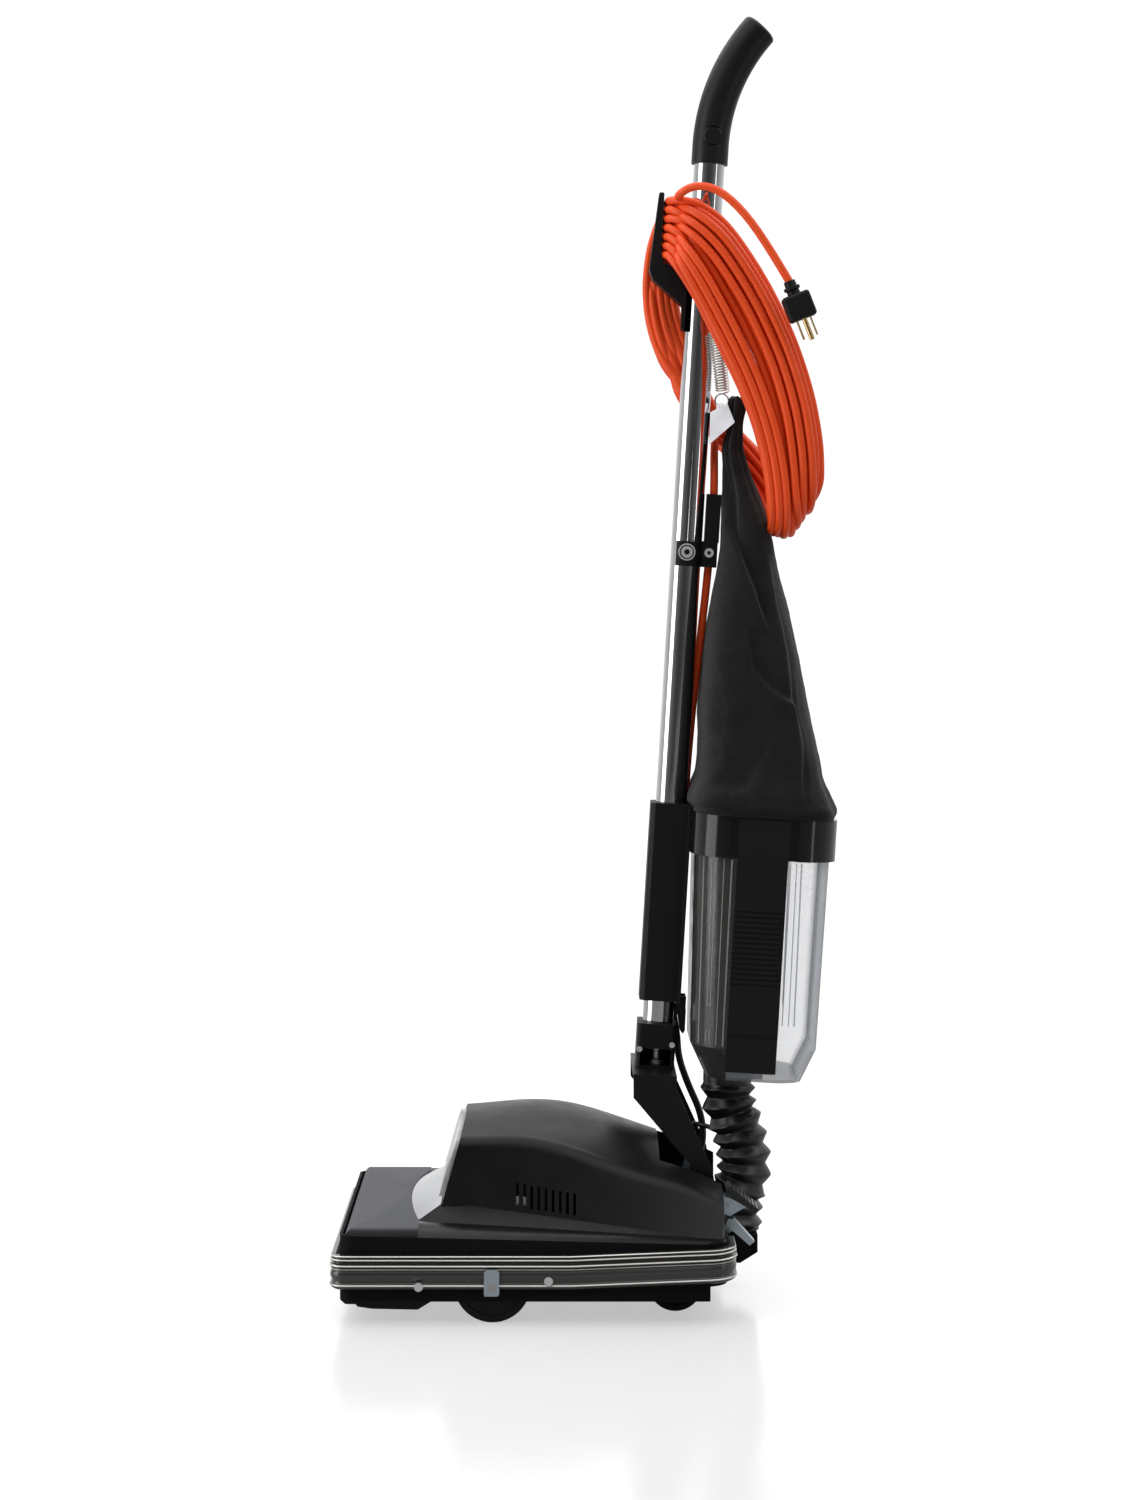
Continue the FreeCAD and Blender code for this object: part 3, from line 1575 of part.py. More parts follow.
def make_spring():
    """A close-wound extension spring that keeps the bag drawn up."""
    low, high = Vector(0.5, -21, 731), Vector(17.5, -30, 783)
    length = low.distanceToPoint(high)
    wire = Part.Wire(Part.makeHelix(2.6, length, 6.3).Edges)
    circle = Part.Wire([Part.makeCircle(0.65, Vector(6.3, 0, 0), Vector(0, 1, 0))])
    coil = wire.makePipeShell([circle], True, True)
    turn = FreeCAD.Rotation(Vector(0, 0, 1), high - low)
    return shape_object("bag_spring_coil", coil, FreeCAD.Placement(low, turn))


def make_hose():
    """The flexible hose from the base's port up to the cup; plain here, ribbed in use."""
    back = HANDLE.inverse()
    ends = [(0, 138, 53.3), (0, 138, 80), (0, 148, 107), (0, 143.5, 142)]
    points = [back.multVec(Vector(*p)) for p in ends]
    points += [Vector(0, float(inlet_u), 75), Vector(0, float(inlet_u), 101.7)]
    return swept("hose", points, hose_r, spigot_r + 0.3, radii=[70, 60, 80, 60])


def make_motor_lead():
    """The power lead from the cup bracket down the far arm into the hood."""
    points = [
        (-15, -35, 164.5),
        (-22, -31, 147),
        (-34, -23, 127),
        (-46, -15, 104),
        (-51, -4, 78),
        (-51, 5, 52),
        (-50.4, 6, 26),
        (-50, 0, 6),
        (-50, -3, -15),
    ]
    return swept("motor_lead", points, lead_r)


# ------------------------------------------------------------------------- the mains cord

LEAD_ROUTE = (
    (-13, -33, 347),
    (-12, -32.6, 405),
    (-7, -28.6, 485),
    (-1, -24.8, 558),
    (0, -23.2, 622),
    (-2.4, -23.8, 648),
    (-19, -25.4, 683),
    (-27, -23, 712),
)
TAIL_ROUTE = (
    (42, -76, 905),
    (50, -62, 915),
    (57, -40, 913),
    (62, -14, 892),
    (66, 12, 858),
    (66.5, 30, 831),
)
COIL_NEAR = (26, 50)
COIL_FAR = (-46, -20)


def coil_block(name, corners, start, length):
    return prism(name, "YZ_Plane", corners, start, length)


def make_coil():
    """The outer shape of the coiled cord: a ring of cord round the tube and the bag's top."""
    near = coil_block(
        "coil_near",
        [(-85.5, 848.5), (-85.5, 910), (-60, 913), (-30, 912), (5, 878), (33, 829), (45, 787)]
        + [(76, 692), (79.6, 650), (70, 612), (52, 592), (43, 592), (27, 624), (8, 678)]
        + [(-12, 728), (-18.8, 770), (-49.5, 815), (-61, 845)],
        COIL_NEAR[0],
        COIL_NEAR[1] - COIL_NEAR[0],
    )
    far = coil_block(
        "coil_far",
        [(-85.5, 910), (-97, 880), (-103, 854), (-100, 820), (-92, 788), (-73, 733), (-45, 684)]
        + [(-4, 634), (43, 592), (60, 596), (79.6, 650), (60, 690), (20, 722), (-18, 770)]
        + [(-42, 830), (-60, 905)],
        COIL_FAR[0],
        COIL_FAR[1] - COIL_FAR[0],
    )
    top = coil_block(
        "coil_top",
        [(-85.5, 858.5), (-85.5, 910), (-61, 910), (-61, 858.5)],
        COIL_FAR[0],
        COIL_NEAR[1] - COIL_FAR[0],
    )
    bottom = coil_block(
        "coil_bottom",
        [(43, 593), (30, 634), (18, 664), (5, 690), (24, 714), (60, 694), (76, 690), (79.6, 650)]
        + [(70, 612), (52, 592)],
        COIL_FAR[0],
        COIL_NEAR[1] - COIL_FAR[0],
    )
    solid = fuse("coil_solid", near, far, top, bottom)
    return cut("cord_coil_body", solid, bag_cone("coil_bag_room", 0.6))


def make_cord_clamp(lead):
    """The moulded clamp on the tube that holds the cord where it leaves for the coil."""
    block = box("clamp_block", (-9, -31.5, 567), (18, 14, 24))
    sleeve = box("clamp_sleeve", (-7, -30.2, 590), (14, 13.6, 45))
    saddle = cut(
        "clamp_saddle",
        ring("saddle_ring", 17, tube_r, 23, (0, tube_u, 567)),
        box("saddle_open", (-20, -70, 560), (40, 14, 40)),
    )
    whole = fuse("clamp_whole", block, sleeve, saddle)
    tube = cylinder("clamp_tube", tube_r, 100, (0, tube_u, 550))
    bolt = cylinder("clamp_bolt_hole", 2.5, 60, (-30, tube_u, 580), TO_X)
    return cut("cord_clamp_body", whole, tube, bolt, lead)


PLUG_DIRECTION = Vector(0, 0.42, -0.907)


def make_plug():
    """A moulded three-pin mains plug at the end of the tail, hanging pins down."""
    at = Vector(*TAIL_ROUTE[-1])
    turn = FreeCAD.Rotation(Vector(0, 0, 1), PLUG_DIRECTION)
    relief = turned(
        "plug_relief",
        [(0, 0), (5.2, 0), (5.6, 5), (7.6, 6), (7.6, 8.4), (5.8, 9.4), (6.2, 14), (0, 14)],
    )
    body = doc.addObject("Part::Box", "plug_block")
    body.Length, body.Width, body.Height = 22, 26, 24
    body.Placement = FreeCAD.Placement(Vector(-11, -13, 13), LEVEL)
    block = doc.addObject("Part::Fillet", "plug_rounded")
    doc.recompute()
    block.Base = body
    block.Edges = [(i + 1, 3, 3) for i in range(12)]
    plug = fuse("plug_body", relief, block)
    plug.Placement = FreeCAD.Placement(at, turn)
    pins = [
        box("plug_blade", (-5, -7.1, 37), (6.4, 1.5, 17.5)),
        box("plug_blade", (-5, 5.6, 37), (6.4, 1.5, 17.5)),
        cylinder("plug_ground", 2.38, 20.5, (6, 0, 37)),
    ]
    blades = group("plug_blades_group", *pins)
    blades.Placement = FreeCAD.Placement(at, turn)
    return plug, blades


# ---------------------------------------------------------------------------- the machine


def build_base():
    nozzle, deck, trim = make_covers()
    hood, lens = make_hood()
    chassis = make_chassis()
    screws = make_guard_screws()
    brackets = make_rear_brackets()
    node("chassis", chassis)
    node("nozzle_cover", nozzle)
    node("top_deck", cut("top_deck_seated", deck, hood, brackets))
    node("motor_hood", hood)
    node("trim_plate", trim)
    node("headlight_lens", lens)
    node("headlight_bulb", make_headlight())
    node("furniture_guard", cut("furniture_guard_seated", make_guard(), screws))
    node("bottom_plate", make_bottom_plate())
    housing, stator, bearings, shaft, armature = make_motor()
    node("motor_housing", housing)
    node("field_coil", stator)
    node("bearings", bearings)
    node("motor_shaft", shaft)
    node("armature", armature)
    node("fan", make_fan())
    node("fan_housing", make_fan_housing())
    node("suction_duct", make_suction_duct())
    node("exhaust_duct", make_exhaust_duct())
    node("hose_port", make_hose_port())
    node("drive_belt", make_belt())
    core, tufts = make_brush_roll()
    node("brush_roll", core)
    node("bristle_tufts", tufts)
    node("axles", make_axles())
    node("axle_clips", make_axle_clips())
    node("guard_screws", screws)
    node("rear_brackets", brackets)
    node("hinge_pins", make_hinge_pins())
    lever, pad = make_pedal()
    node("pedal_lever", lever)
    node("pedal_pad", pad)
    node("detent_bar", make_detent_bar())
    for side, hand in zip(SIDES, ("right", "left")):
        front = make_wheel(f"front_{hand}", front_wheel_r, 10, side * 140, front_wheel_y)
        rear = make_wheel(f"rear_{hand}", rear_wheel_r, 9, side * 97, rear_wheel_y)
        node(f"front_wheel_{hand}", front)
        node(f"rear_wheel_{hand}", rear)


def build_handle():
    lead = swept("cord_lead", LEAD_ROUTE, cord_r)
    lower, upper = make_tubes()
    switch, button = make_switch()
    clip, ring_wire, eye = make_bag_clip()
    plug, blades = make_plug()
    node("yoke", make_yoke(), HANDLE)
    node("tube_socket", make_socket(), HANDLE)
    node("handle_bolts", make_handle_bolts(), HANDLE)
    node("lower_tube", lower, HANDLE)
    node("upper_tube", upper, HANDLE)
    node("grip", make_grip(), HANDLE)
    node("switch_body", switch, HANDLE)
    node("switch_button", button, HANDLE)
    node("cord_hook", make_cord_hook(), HANDLE)
    node("cup_bracket", make_cup_bracket(), HANDLE)
    node("cup_latch", make_latch(), HANDLE)
    node("cup_bezel", make_bezel(), HANDLE)
    node("dirt_cup", make_cup(), HANDLE)
    node("cup_bands", make_cup_bands(), HANDLE)
    node("intake_duct", make_intake(), HANDLE)
    node("cloth_bag", make_bag(), HANDLE)
    node("bag_clip", group("bag_clip_group", clip, ring_wire, eye), HANDLE)
    node("bag_spring", make_spring(), HANDLE)
    node("hose", make_hose(), HANDLE)
    node("motor_lead", make_motor_lead(), HANDLE)
    node("cord_clamp", make_cord_clamp(lead), HANDLE)
    node("cord_coil", make_coil(), HANDLE)
    node("cord_tail", swept("cord_tail", TAIL_ROUTE, cord_r), HANDLE)
    node("plug", plug, HANDLE)
    node("plug_blades", blades, HANDLE)
    doc.recompute()
    placed_lead = doc.addObject("Part::Feature", "cord_lead_placed")
    placed_lead.Shape = lead.Shape
    node("cord_lead", placed_lead, HANDLE)


def check_document():
    for obj in doc.Objects:
        bad = {"Invalid", "Error"} & set(obj.State)
        if bad:
            raise RuntimeError(f"{obj.Name} ({obj.Label}) is {sorted(bad)}")
    for label, obj in nodes:
        shape = obj.Shape
        if shape.isNull() or not shape.isValid() or not shape.Solids:
            raise RuntimeError(f"{label} has no valid solid")
        print(
            f"{label:18s} solids {len(shape.Solids):3d}  volume {shape.Volume / 1000:9.2f} cm3"
        )


def write_parts():
    os.makedirs("parts", exist_ok=True)
    for label, obj in nodes:
        obj.Shape.exportStep(f"parts/{label}.step")
    print(len(nodes), "parts written")


build_base()
build_handle()
doc.recompute()
check_document()
write_parts()
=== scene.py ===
import math

import bmesh
import bpy
import numpy as np
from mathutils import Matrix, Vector


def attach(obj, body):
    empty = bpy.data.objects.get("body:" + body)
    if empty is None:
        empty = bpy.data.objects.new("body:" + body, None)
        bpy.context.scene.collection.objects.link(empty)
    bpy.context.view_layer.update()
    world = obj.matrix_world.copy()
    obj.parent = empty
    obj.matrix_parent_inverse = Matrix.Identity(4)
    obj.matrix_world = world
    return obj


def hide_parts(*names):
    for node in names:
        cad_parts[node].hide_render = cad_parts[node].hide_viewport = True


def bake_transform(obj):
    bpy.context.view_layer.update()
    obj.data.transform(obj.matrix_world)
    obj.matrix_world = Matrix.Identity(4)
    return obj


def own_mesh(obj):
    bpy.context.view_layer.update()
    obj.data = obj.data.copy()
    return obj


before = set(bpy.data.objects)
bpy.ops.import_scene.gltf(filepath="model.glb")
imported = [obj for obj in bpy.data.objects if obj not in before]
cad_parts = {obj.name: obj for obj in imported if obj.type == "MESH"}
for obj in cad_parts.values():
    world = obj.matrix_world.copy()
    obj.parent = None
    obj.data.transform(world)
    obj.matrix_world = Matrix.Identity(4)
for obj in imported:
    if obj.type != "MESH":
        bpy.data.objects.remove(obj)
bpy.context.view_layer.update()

# Metres, in the CAD frame. The handle leans back, so its pieces are laid out upright in the
# handle's own frame (x across, u to the rear, w up the tube, millimetres) and then placed.

LEAN = math.radians(3.45)
PIVOT = (0.104, 0.100)
MM = 0.001


def handle(x, u, w):
    """A point of the handle frame, in millimetres, as metres in the shared frame."""
    y = PIVOT[0] + (u * math.cos(LEAN) + w * math.sin(LEAN)) * MM
    z = PIVOT[1] + (w * math.cos(LEAN) - u * math.sin(LEAN)) * MM
    return Vector((x * MM, y, z))


# ------------------------------------------------------------------------------- camera

camera_data = bpy.data.cameras.new("camera")
camera = bpy.data.objects.new("camera", camera_data)
bpy.context.scene.collection.objects.link(camera)
camera.location = (3.010, -0.022, 0.666)
camera.rotation_euler = (math.radians(90), 0, math.radians(90))
camera_data.lens = 77.7
camera_data.sensor_width = 36
camera_data.shift_y = -0.1207
camera_data.clip_end = 50
bpy.context.scene.camera = camera


# ---------------------------------------------------------------------------- materials


class Nodes:
    """A material being wired up, with the shader it ends in."""

    def __init__(self, name):
        self.material = bpy.data.materials.new(name)
        self.material.use_nodes = True
        self.tree = self.material.node_tree
        self.shader = self.tree.nodes["Principled BSDF"]
        self.coords = self.tree.nodes.new("ShaderNodeTexCoord").outputs["Object"]

    def link(self, a, b):
        self.tree.links.new(a, b)

    def add(self, kind, **settings):
        node = self.tree.nodes.new(kind)
        for key, value in settings.items():
            setattr(node, key, value)
        return node

    def noise(self, scale, detail=3.0, stretch=(1, 1, 1), rough=0.5):
        mapping = self.add("ShaderNodeMapping")
        mapping.inputs["Scale"].default_value = stretch
        self.link(self.coords, mapping.inputs["Vector"])
        node = self.add("ShaderNodeTexNoise")
        node.inputs["Scale"].default_value = scale
        node.inputs["Detail"].default_value = detail
        node.inputs["Roughness"].default_value = rough
        self.link(mapping.outputs[0], node.inputs["Vector"])
        return node.outputs["Fac"]

    def ramp(self, fac, low, high, a, b):
        """Mix two colours, a below low and b above high."""
        node = self.add("ShaderNodeValToRGB")
        first, last = node.color_ramp.elements
        first.position, last.position = low, high
        first.color, last.color = (*a, 1), (*b, 1)
        self.link(fac, node.inputs["Fac"])
        return node.outputs["Color"]

    def span(self, fac, low, high, a, b):
        """Map the range low to high onto a to b."""
        node = self.add("ShaderNodeMapRange")
        for key, value in zip(("From Min", "From Max", "To Min", "To Max"), (low, high, a, b)):
            node.inputs[key].default_value = value
        self.link(fac, node.inputs["Value"])
        return node.outputs["Result"]

    def maths(self, operation, a, b):
        node = self.add("ShaderNodeMath", operation=operation)
        for socket, value in zip(node.inputs, (a, b)):
            if isinstance(value, (int, float)):
                socket.default_value = value
            else:
                self.link(value, socket)
        return node.outputs["Value"]

    def wave(self, scale, direction, distortion=0.0):
        node = self.add("ShaderNodeTexWave", bands_direction=direction)
        node.inputs["Scale"].default_value = scale
        node.inputs["Distortion"].default_value = distortion
        node.inputs["Detail"].default_value = 1.0
        self.link(self.coords, node.inputs["Vector"])
        return node.outputs["Fac"]

    def bump(self, height, strength, distance, under=None):
        node = self.add("ShaderNodeBump")
        node.inputs["Strength"].default_value = strength
        node.inputs["Distance"].default_value = distance
        self.link(height, node.inputs["Height"])
        if under is not None:
            self.link(under, node.inputs["Normal"])
        return node.outputs["Normal"]

    def edge_wear(self, radius=0.0015):
        """Near 1 on outside edges, 0 on flat faces."""
        bevel = self.add("ShaderNodeBevel")
        bevel.samples = 4
        bevel.inputs["Radius"].default_value = radius
        geometry = self.add("ShaderNodeNewGeometry")
        dot = self.add("ShaderNodeVectorMath", operation="DOT_PRODUCT")
        self.link(bevel.outputs[0], dot.inputs[0])
        self.link(geometry.outputs["Normal"], dot.inputs[1])
        return self.span(dot.outputs["Value"], 0.97, 0.8, 0.0, 1.0)

    def set(self, **values):
        names = {
            "metallic": "Metallic",
            "coat": "Coat Weight",
            "coat_rough": "Coat Roughness",
            "specular": "Specular IOR Level",
            "sheen": "Sheen Weight",
            "sheen_rough": "Sheen Roughness",
        }
        for key, value in values.items():
            self.shader.inputs[names[key]].default_value = value
        return self


def moulded(
    name, color, rough, grain=1400, depth=0.00004, strength=0.12, tint=1.35, patch=9, worn=0.35,
    **extra
):
    """Moulded plastic or rubber: faint colour drift, uneven gloss, fine grain, bright edges."""
    n = Nodes(name)
    drift = n.noise(patch, 4)
    light = tuple(min(1, c * tint + 0.0015) for c in color)
    base = n.ramp(drift, 0.3, 0.75, color, light)
    if worn:
        mix = n.add("ShaderNodeMix", data_type="RGBA")
        n.link(n.maths("MULTIPLY", n.edge_wear(), worn), mix.inputs["Factor"])
        n.link(base, mix.inputs["A"])
        mix.inputs["B"].default_value = (*[min(1, c * 2.2 + 0.012) for c in color], 1)
        base = mix.outputs["Result"]
    n.link(base, n.shader.inputs["Base Color"])
    smudge = n.noise(38, 5, rough=0.6)
    n.link(n.span(smudge, 0.3, 0.7, rough[0], rough[1]), n.shader.inputs["Roughness"])
    grain_height = n.noise(grain, 2)
    n.link(n.bump(grain_height, strength, depth), n.shader.inputs["Normal"])
    n.set(**{"specular": 0.2, **extra})
    return n.material


def metal(name, color, rough, brushed=None, depth=0.00002, **extra):
    """Plated or bare metal with uneven gloss, and brush lines where it has them."""
    n = Nodes(name)
    drift = n.noise(14, 4)
    dark = tuple(c * 0.86 for c in color)
    n.link(n.ramp(drift, 0.35, 0.7, dark, color), n.shader.inputs["Base Color"])
    smudge = n.noise(55, 5, rough=0.65)
    n.link(n.span(smudge, 0.3, 0.72, rough[0], rough[1]), n.shader.inputs["Roughness"])
    lines = n.noise(900, 3, stretch=brushed or (1, 1, 1))
    n.link(n.bump(lines, 0.15 if brushed else 0.04, depth), n.shader.inputs["Normal"])
    n.set(metallic=1.0, **extra)
    return n.material


def clear(name, color, rim, face_alpha, edge_alpha, rough):
    """Clear moulding: see-through face on, and dark and dense where it is seen edge on; the dark rim
    colour there is painted shade standing in for the dark surroundings seen through the edge.
    """
    n = Nodes(name)
    facing = n.add("ShaderNodeLayerWeight")
    facing.inputs["Blend"].default_value = 0.5
    drift = n.noise(12, 2)
    light = tuple(min(1, c * 1.12) for c in color)
    body = n.ramp(drift, 0.3, 0.7, color, light)
    # painted shade: where a face is seen edge on, the rim colour stands in for the dark surroundings
    # seen through it
    mix = n.add("ShaderNodeMix", data_type="RGBA")
    n.link(n.span(facing.outputs["Facing"], 0.62, 0.82, 0.0, 1.0), mix.inputs["Factor"])
    n.link(body, mix.inputs["A"])
    mix.inputs["B"].default_value = (*rim, 1)
    n.link(mix.outputs["Result"], n.shader.inputs["Base Color"])
    smudge = n.noise(60, 4)
    n.link(n.span(smudge, 0.35, 0.7, rough, rough * 2.4), n.shader.inputs["Roughness"])
    alpha = n.span(facing.outputs["Facing"], 0.45, 0.82, face_alpha, edge_alpha)
    n.link(alpha, n.shader.inputs["Alpha"])
    ripple = n.noise(45, 2, stretch=(1, 1, 0.15))
    n.link(n.bump(ripple, 0.04, 0.00004), n.shader.inputs["Normal"])
    n.set(specular=0.6)
    n.material.surface_render_method = "BLENDED"
    return n.material


def woven(name, color, light, threads=768.84):
    """Plain-woven cloth with a slub, a soft sheen and worn folds."""
    n = Nodes(name)
    across = n.wave(threads, "DIAGONAL")
    up = n.wave(threads, "Z")
    weave = n.maths("MULTIPLY", across, up)
    slub = n.noise(240, 3, stretch=(1, 1, 6))
    fuzz = n.noise(26, 5, rough=0.6)
    shade = n.maths("ADD", n.maths("MULTIPLY", weave, 0.35), n.maths("MULTIPLY", fuzz, 0.65))
    n.link(n.ramp(shade, 0.3, 0.75, color, light), n.shader.inputs["Base Color"])
    n.link(n.span(slub, 0.3, 0.7, 0.72, 0.92), n.shader.inputs["Roughness"])
    crumple = n.bump(n.noise(70, 4, stretch=(1, 1, 0.5)), 0.35, 0.0012)
    n.link(n.bump(weave, 0.5, 0.0003, crumple), n.shader.inputs["Normal"])
    n.set(sheen=0.12, sheen_rough=0.45, specular=0.2)
    return n.material


def wood():
    """Turned beech: rings along the roll and an uneven polish."""
    n = Nodes("turned_beech")
    grain = n.ramp(n.wave(90, "X", 6.0), 0.2, 0.8, (0.42, 0.25, 0.11), (0.6, 0.4, 0.2))
    n.link(grain, n.shader.inputs["Base Color"])
    n.link(n.span(n.noise(80), 0.3, 0.7, 0.3, 0.5), n.shader.inputs["Roughness"])
    return n.material


black = (0.003, 0.0031, 0.0036)
MATERIALS = {
    "gloss": moulded("gloss_black_plastic", black, (0.1, 0.2), coat=0.35, coat_rough=0.06),
    "deck": moulded("satin_deck", black, (0.22, 0.32), specular=0.14),
    "hood": moulded("satin_black_plastic", (0.0042, 0.0044, 0.005), (0.3, 0.42), depth=0.00006),
    "nozzle": moulded(
        "textured_blue_grey", (0.016, 0.018, 0.025), (0.5, 0.53), grain=520, depth=0.0005,
        strength=0.8, tint=2.0, patch=430, specular=0.4,
    ),
    "matte": moulded("matte_black_plastic", (0.0042, 0.0042, 0.0048), (0.42, 0.55), strength=0.2),
    "grip": moulded("grip_black", (0.006, 0.006, 0.0068), (0.34, 0.44), depth=0.00005),
    "guard": moulded(
        "guard_grey_vinyl", (0.03, 0.029, 0.028), (0.22, 0.26), depth=0.000004, strength=0.03,
        tint=1.1, worn=0, specular=0.5, coat=0.3, coat_rough=0.12,
    ),
    # painted highlight: a pale half-metal colour on the guard's beads stands in for the bright lines
    # of light they catch
    "bead": moulded(
        "guard_bead_painted_highlight", (0.62, 0.6, 0.56), (0.2, 0.26), depth=0.000004, strength=0.03,
        tint=1.05, worn=0, metallic=0.5, specular=0.6,
    ),
    "rubber": moulded("black_rubber", (0.006, 0.006, 0.0065), (0.26, 0.42), strength=0.25,
                      specular=0.45),
    "wheel": moulded("wheel_black", (0.006, 0.006, 0.0065), (0.3, 0.45)),
    "powder": moulded("black_powder_coat", (0.0046, 0.0046, 0.0053), (0.3, 0.42), grain=900,
                      depth=0.0001, strength=0.3),
    "orange": moulded("orange_cable_jacket", (0.8, 0.075, 0.01), (0.34, 0.46), grain=700,
                      tint=1.1, worn=0, specular=0.3),
    "bristle": moulded("stiff_bristle", (0.02, 0.018, 0.016), (0.5, 0.7)),
    "duct": moulded("duct_black", (0.004, 0.004, 0.0045), (0.6, 0.75), specular=0.08),
    "winding": moulded("coil_and_laminations", (0.25, 0.09, 0.03), (0.35, 0.6), grain=500),
    "chrome": metal("chrome_plating", (0.62, 0.62, 0.64), (0.035, 0.09)),
    "screw": metal("bright_fastener", (0.85, 0.85, 0.86), (0.3, 0.42)),
    "mirror": metal("polished_trim", (0.45, 0.46, 0.49), (0.05, 0.12)),
    "clip": metal("clip_plating", (0.6, 0.6, 0.63), (0.1, 0.16)),
    "zinc": metal("zinc_plating", (0.5, 0.58, 0.63), (0.26, 0.4)),
    "steel": metal("sheet_steel", (0.5, 0.5, 0.51), (0.3, 0.45), brushed=(0.1, 1, 1)),
    "spring": metal("spring_wire", (0.6, 0.57, 0.52), (0.2, 0.34)),
    "brass": metal("blade_brass", (0.78, 0.56, 0.26), (0.16, 0.3)),
    "cast": metal("cast_aluminium", (0.12, 0.12, 0.12), (0.4, 0.6)),
    "cup": clear("clear_moulding", (0.74, 0.79, 0.86), (0.06, 0.065, 0.07), 0.14, 0.85, 0.05),
    "smoke": clear("smoked_moulding", (0.04, 0.042, 0.038), (0.02, 0.02, 0.018), 0.62, 0.95, 0.1),
    "lens": clear("lens_moulding", (0.5, 0.5, 0.51), (0.1, 0.09, 0.085), 0.45, 0.95, 0.05),
    "edge": clear("smoked_edge", (0.3, 0.31, 0.29), (0.2, 0.2, 0.19), 0.6, 0.9, 0.08),
    "rim": clear("clear_edge", (0.42, 0.46, 0.52), (0.2, 0.21, 0.22), 0.5, 0.9, 0.08),
    "cloth": woven("black_filter_cloth", (0.0045, 0.0045, 0.0052), (0.0135, 0.0135, 0.0145)),
    "wood": wood(),
}

NODE_LOOKS = {
    "gloss": ("cup_bezel",),
    "deck": ("top_deck",),
    "hood": ("motor_hood",),
    "nozzle": ("nozzle_cover",),
    "mirror": ("trim_plate",),
    "lens": ("headlight_lens", "headlight_bulb"),
    "guard": ("furniture_guard",),
    "clip": ("bag_clip",),
    "steel": ("axles", "hinge_pins", "motor_shaft", "armature"),
    "cast": ("motor_housing", "fan"),
    "winding": ("field_coil",),
    "brass": ("bearings", "plug_blades"),
    "duct": ("chassis", "fan_housing", "suction_duct", "exhaust_duct", "hose_port"),
    "rubber": ("drive_belt", "pedal_pad", "motor_lead"),
    "wood": ("brush_roll",),
    "bristle": ("bristle_tufts",),
    "wheel": ("front_wheel_left", "front_wheel_right", "rear_wheel_left", "rear_wheel_right"),
    "zinc": ("axle_clips", "rear_brackets", "pedal_lever", "detent_bar"),
    "screw": ("guard_screws", "handle_bolts"),
    "powder": ("yoke", "bottom_plate"),
    "matte": ("tube_socket", "cord_hook", "cup_bracket", "cup_latch", "cup_bands", "cord_clamp",
              "switch_body", "plug"),
    "chrome": ("lower_tube", "upper_tube"),
    "grip": ("grip", "switch_button"),
    "spring": ("bag_spring",),
    "cup": ("dirt_cup",),
    "smoke": ("intake_duct",),
}
for look, names in NODE_LOOKS.items():
    for name in names:
        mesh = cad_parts[name].data
        mesh.materials.clear()
        mesh.materials.append(MATERIALS[look])

# the nozzle cover is leather-grained on top and plain gloss over its shoulders
GRAINED_HALF = 0.1465
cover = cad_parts["nozzle_cover"].data
cover.materials.append(MATERIALS["deck"])
for polygon in cover.polygons:
    if abs(polygon.center.x) > GRAINED_HALF:
        polygon.material_index = 1

# the cup is smoked in front of its side straps and clear behind them
STRAP_U = 0.0166
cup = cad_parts["dirt_cup"].data
cup.materials.append(MATERIALS["smoke"])
for polygon in cup.polygons:
    x, y, z = polygon.center
    if (y - PIVOT[0]) * math.cos(LEAN) - (z - PIVOT[1]) * math.sin(LEAN) < STRAP_U:
        polygon.material_index = 1


# --------------------------------------------------------------------- ways to make pieces


def mesh_piece(name, verts, faces, material, body="handle", smooth=True):
    """One mesh object with one look, riding on its body unless that is None."""
    mesh = bpy.data.meshes.new(name)
    mesh.from_pydata([tuple(v) for v in verts], [], faces)
    bm = bmesh.new()
    bm.from_mesh(mesh)
    bmesh.ops.recalc_face_normals(bm, faces=bm.faces)
    bm.to_mesh(mesh)
    bm.free()
    for polygon in mesh.polygons:
        polygon.use_smooth = smooth
    mesh.materials.append(MATERIALS[material])
    obj = bpy.data.objects.new(name, mesh)
    bpy.context.scene.collection.objects.link(obj)
    if body:
        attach(obj, body)
    return obj


def ring_faces(rows, columns, caps=True):
    """Quads between closed rings of vertices, with a cap on each end."""
    faces = []
    for i in range(rows - 1):
        for j in range(columns):
            k = (j + 1) % columns
            faces.append(
                (i * columns + j, i * columns + k, (i + 1) * columns + k, (i + 1) * columns + j)
            )
    if caps:
        faces.append(tuple(range(columns - 1, -1, -1)))
        faces.append(tuple((rows - 1) * columns + j for j in range(columns)))
    return faces


def spline_data(name, points, resolution):
    """A curve with one smooth open NURBS spline on these control points."""
    data = bpy.data.curves.new(name, "CURVE")
    data.dimensions = "3D"
    spline = data.splines.new("NURBS")
    spline.points.add(len(points) - 1)
    for target, p in zip(spline.points, points):
        target.co = (*p, 1)
    spline.order_u = 3
    spline.use_endpoint_u = True
    data.resolution_u = resolution
    return data


def nurbs(name, points, bevel, material, body):
    """A round cord along the spline with these control points."""
    data = spline_data(name, points, 4)
    data.bevel_depth = bevel
    data.bevel_resolution = 4
    data.use_fill_caps = True
    data.materials.append(MATERIALS[material])
    obj = bpy.data.objects.new(name, data)
    bpy.context.scene.collection.objects.link(obj)
    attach(obj, body)
    return obj


def centreline(points, samples):
    """Points along the spline with these control points."""
    data = spline_data("line", points, samples)
    obj = bpy.data.objects.new("line", data)
    mesh = bpy.data.meshes.new_from_object(obj)
    line = [v.co.copy() for v in mesh.vertices]
    bpy.data.objects.remove(obj)
    bpy.data.meshes.remove(mesh)
    bpy.data.curves.remove(data)
    return line


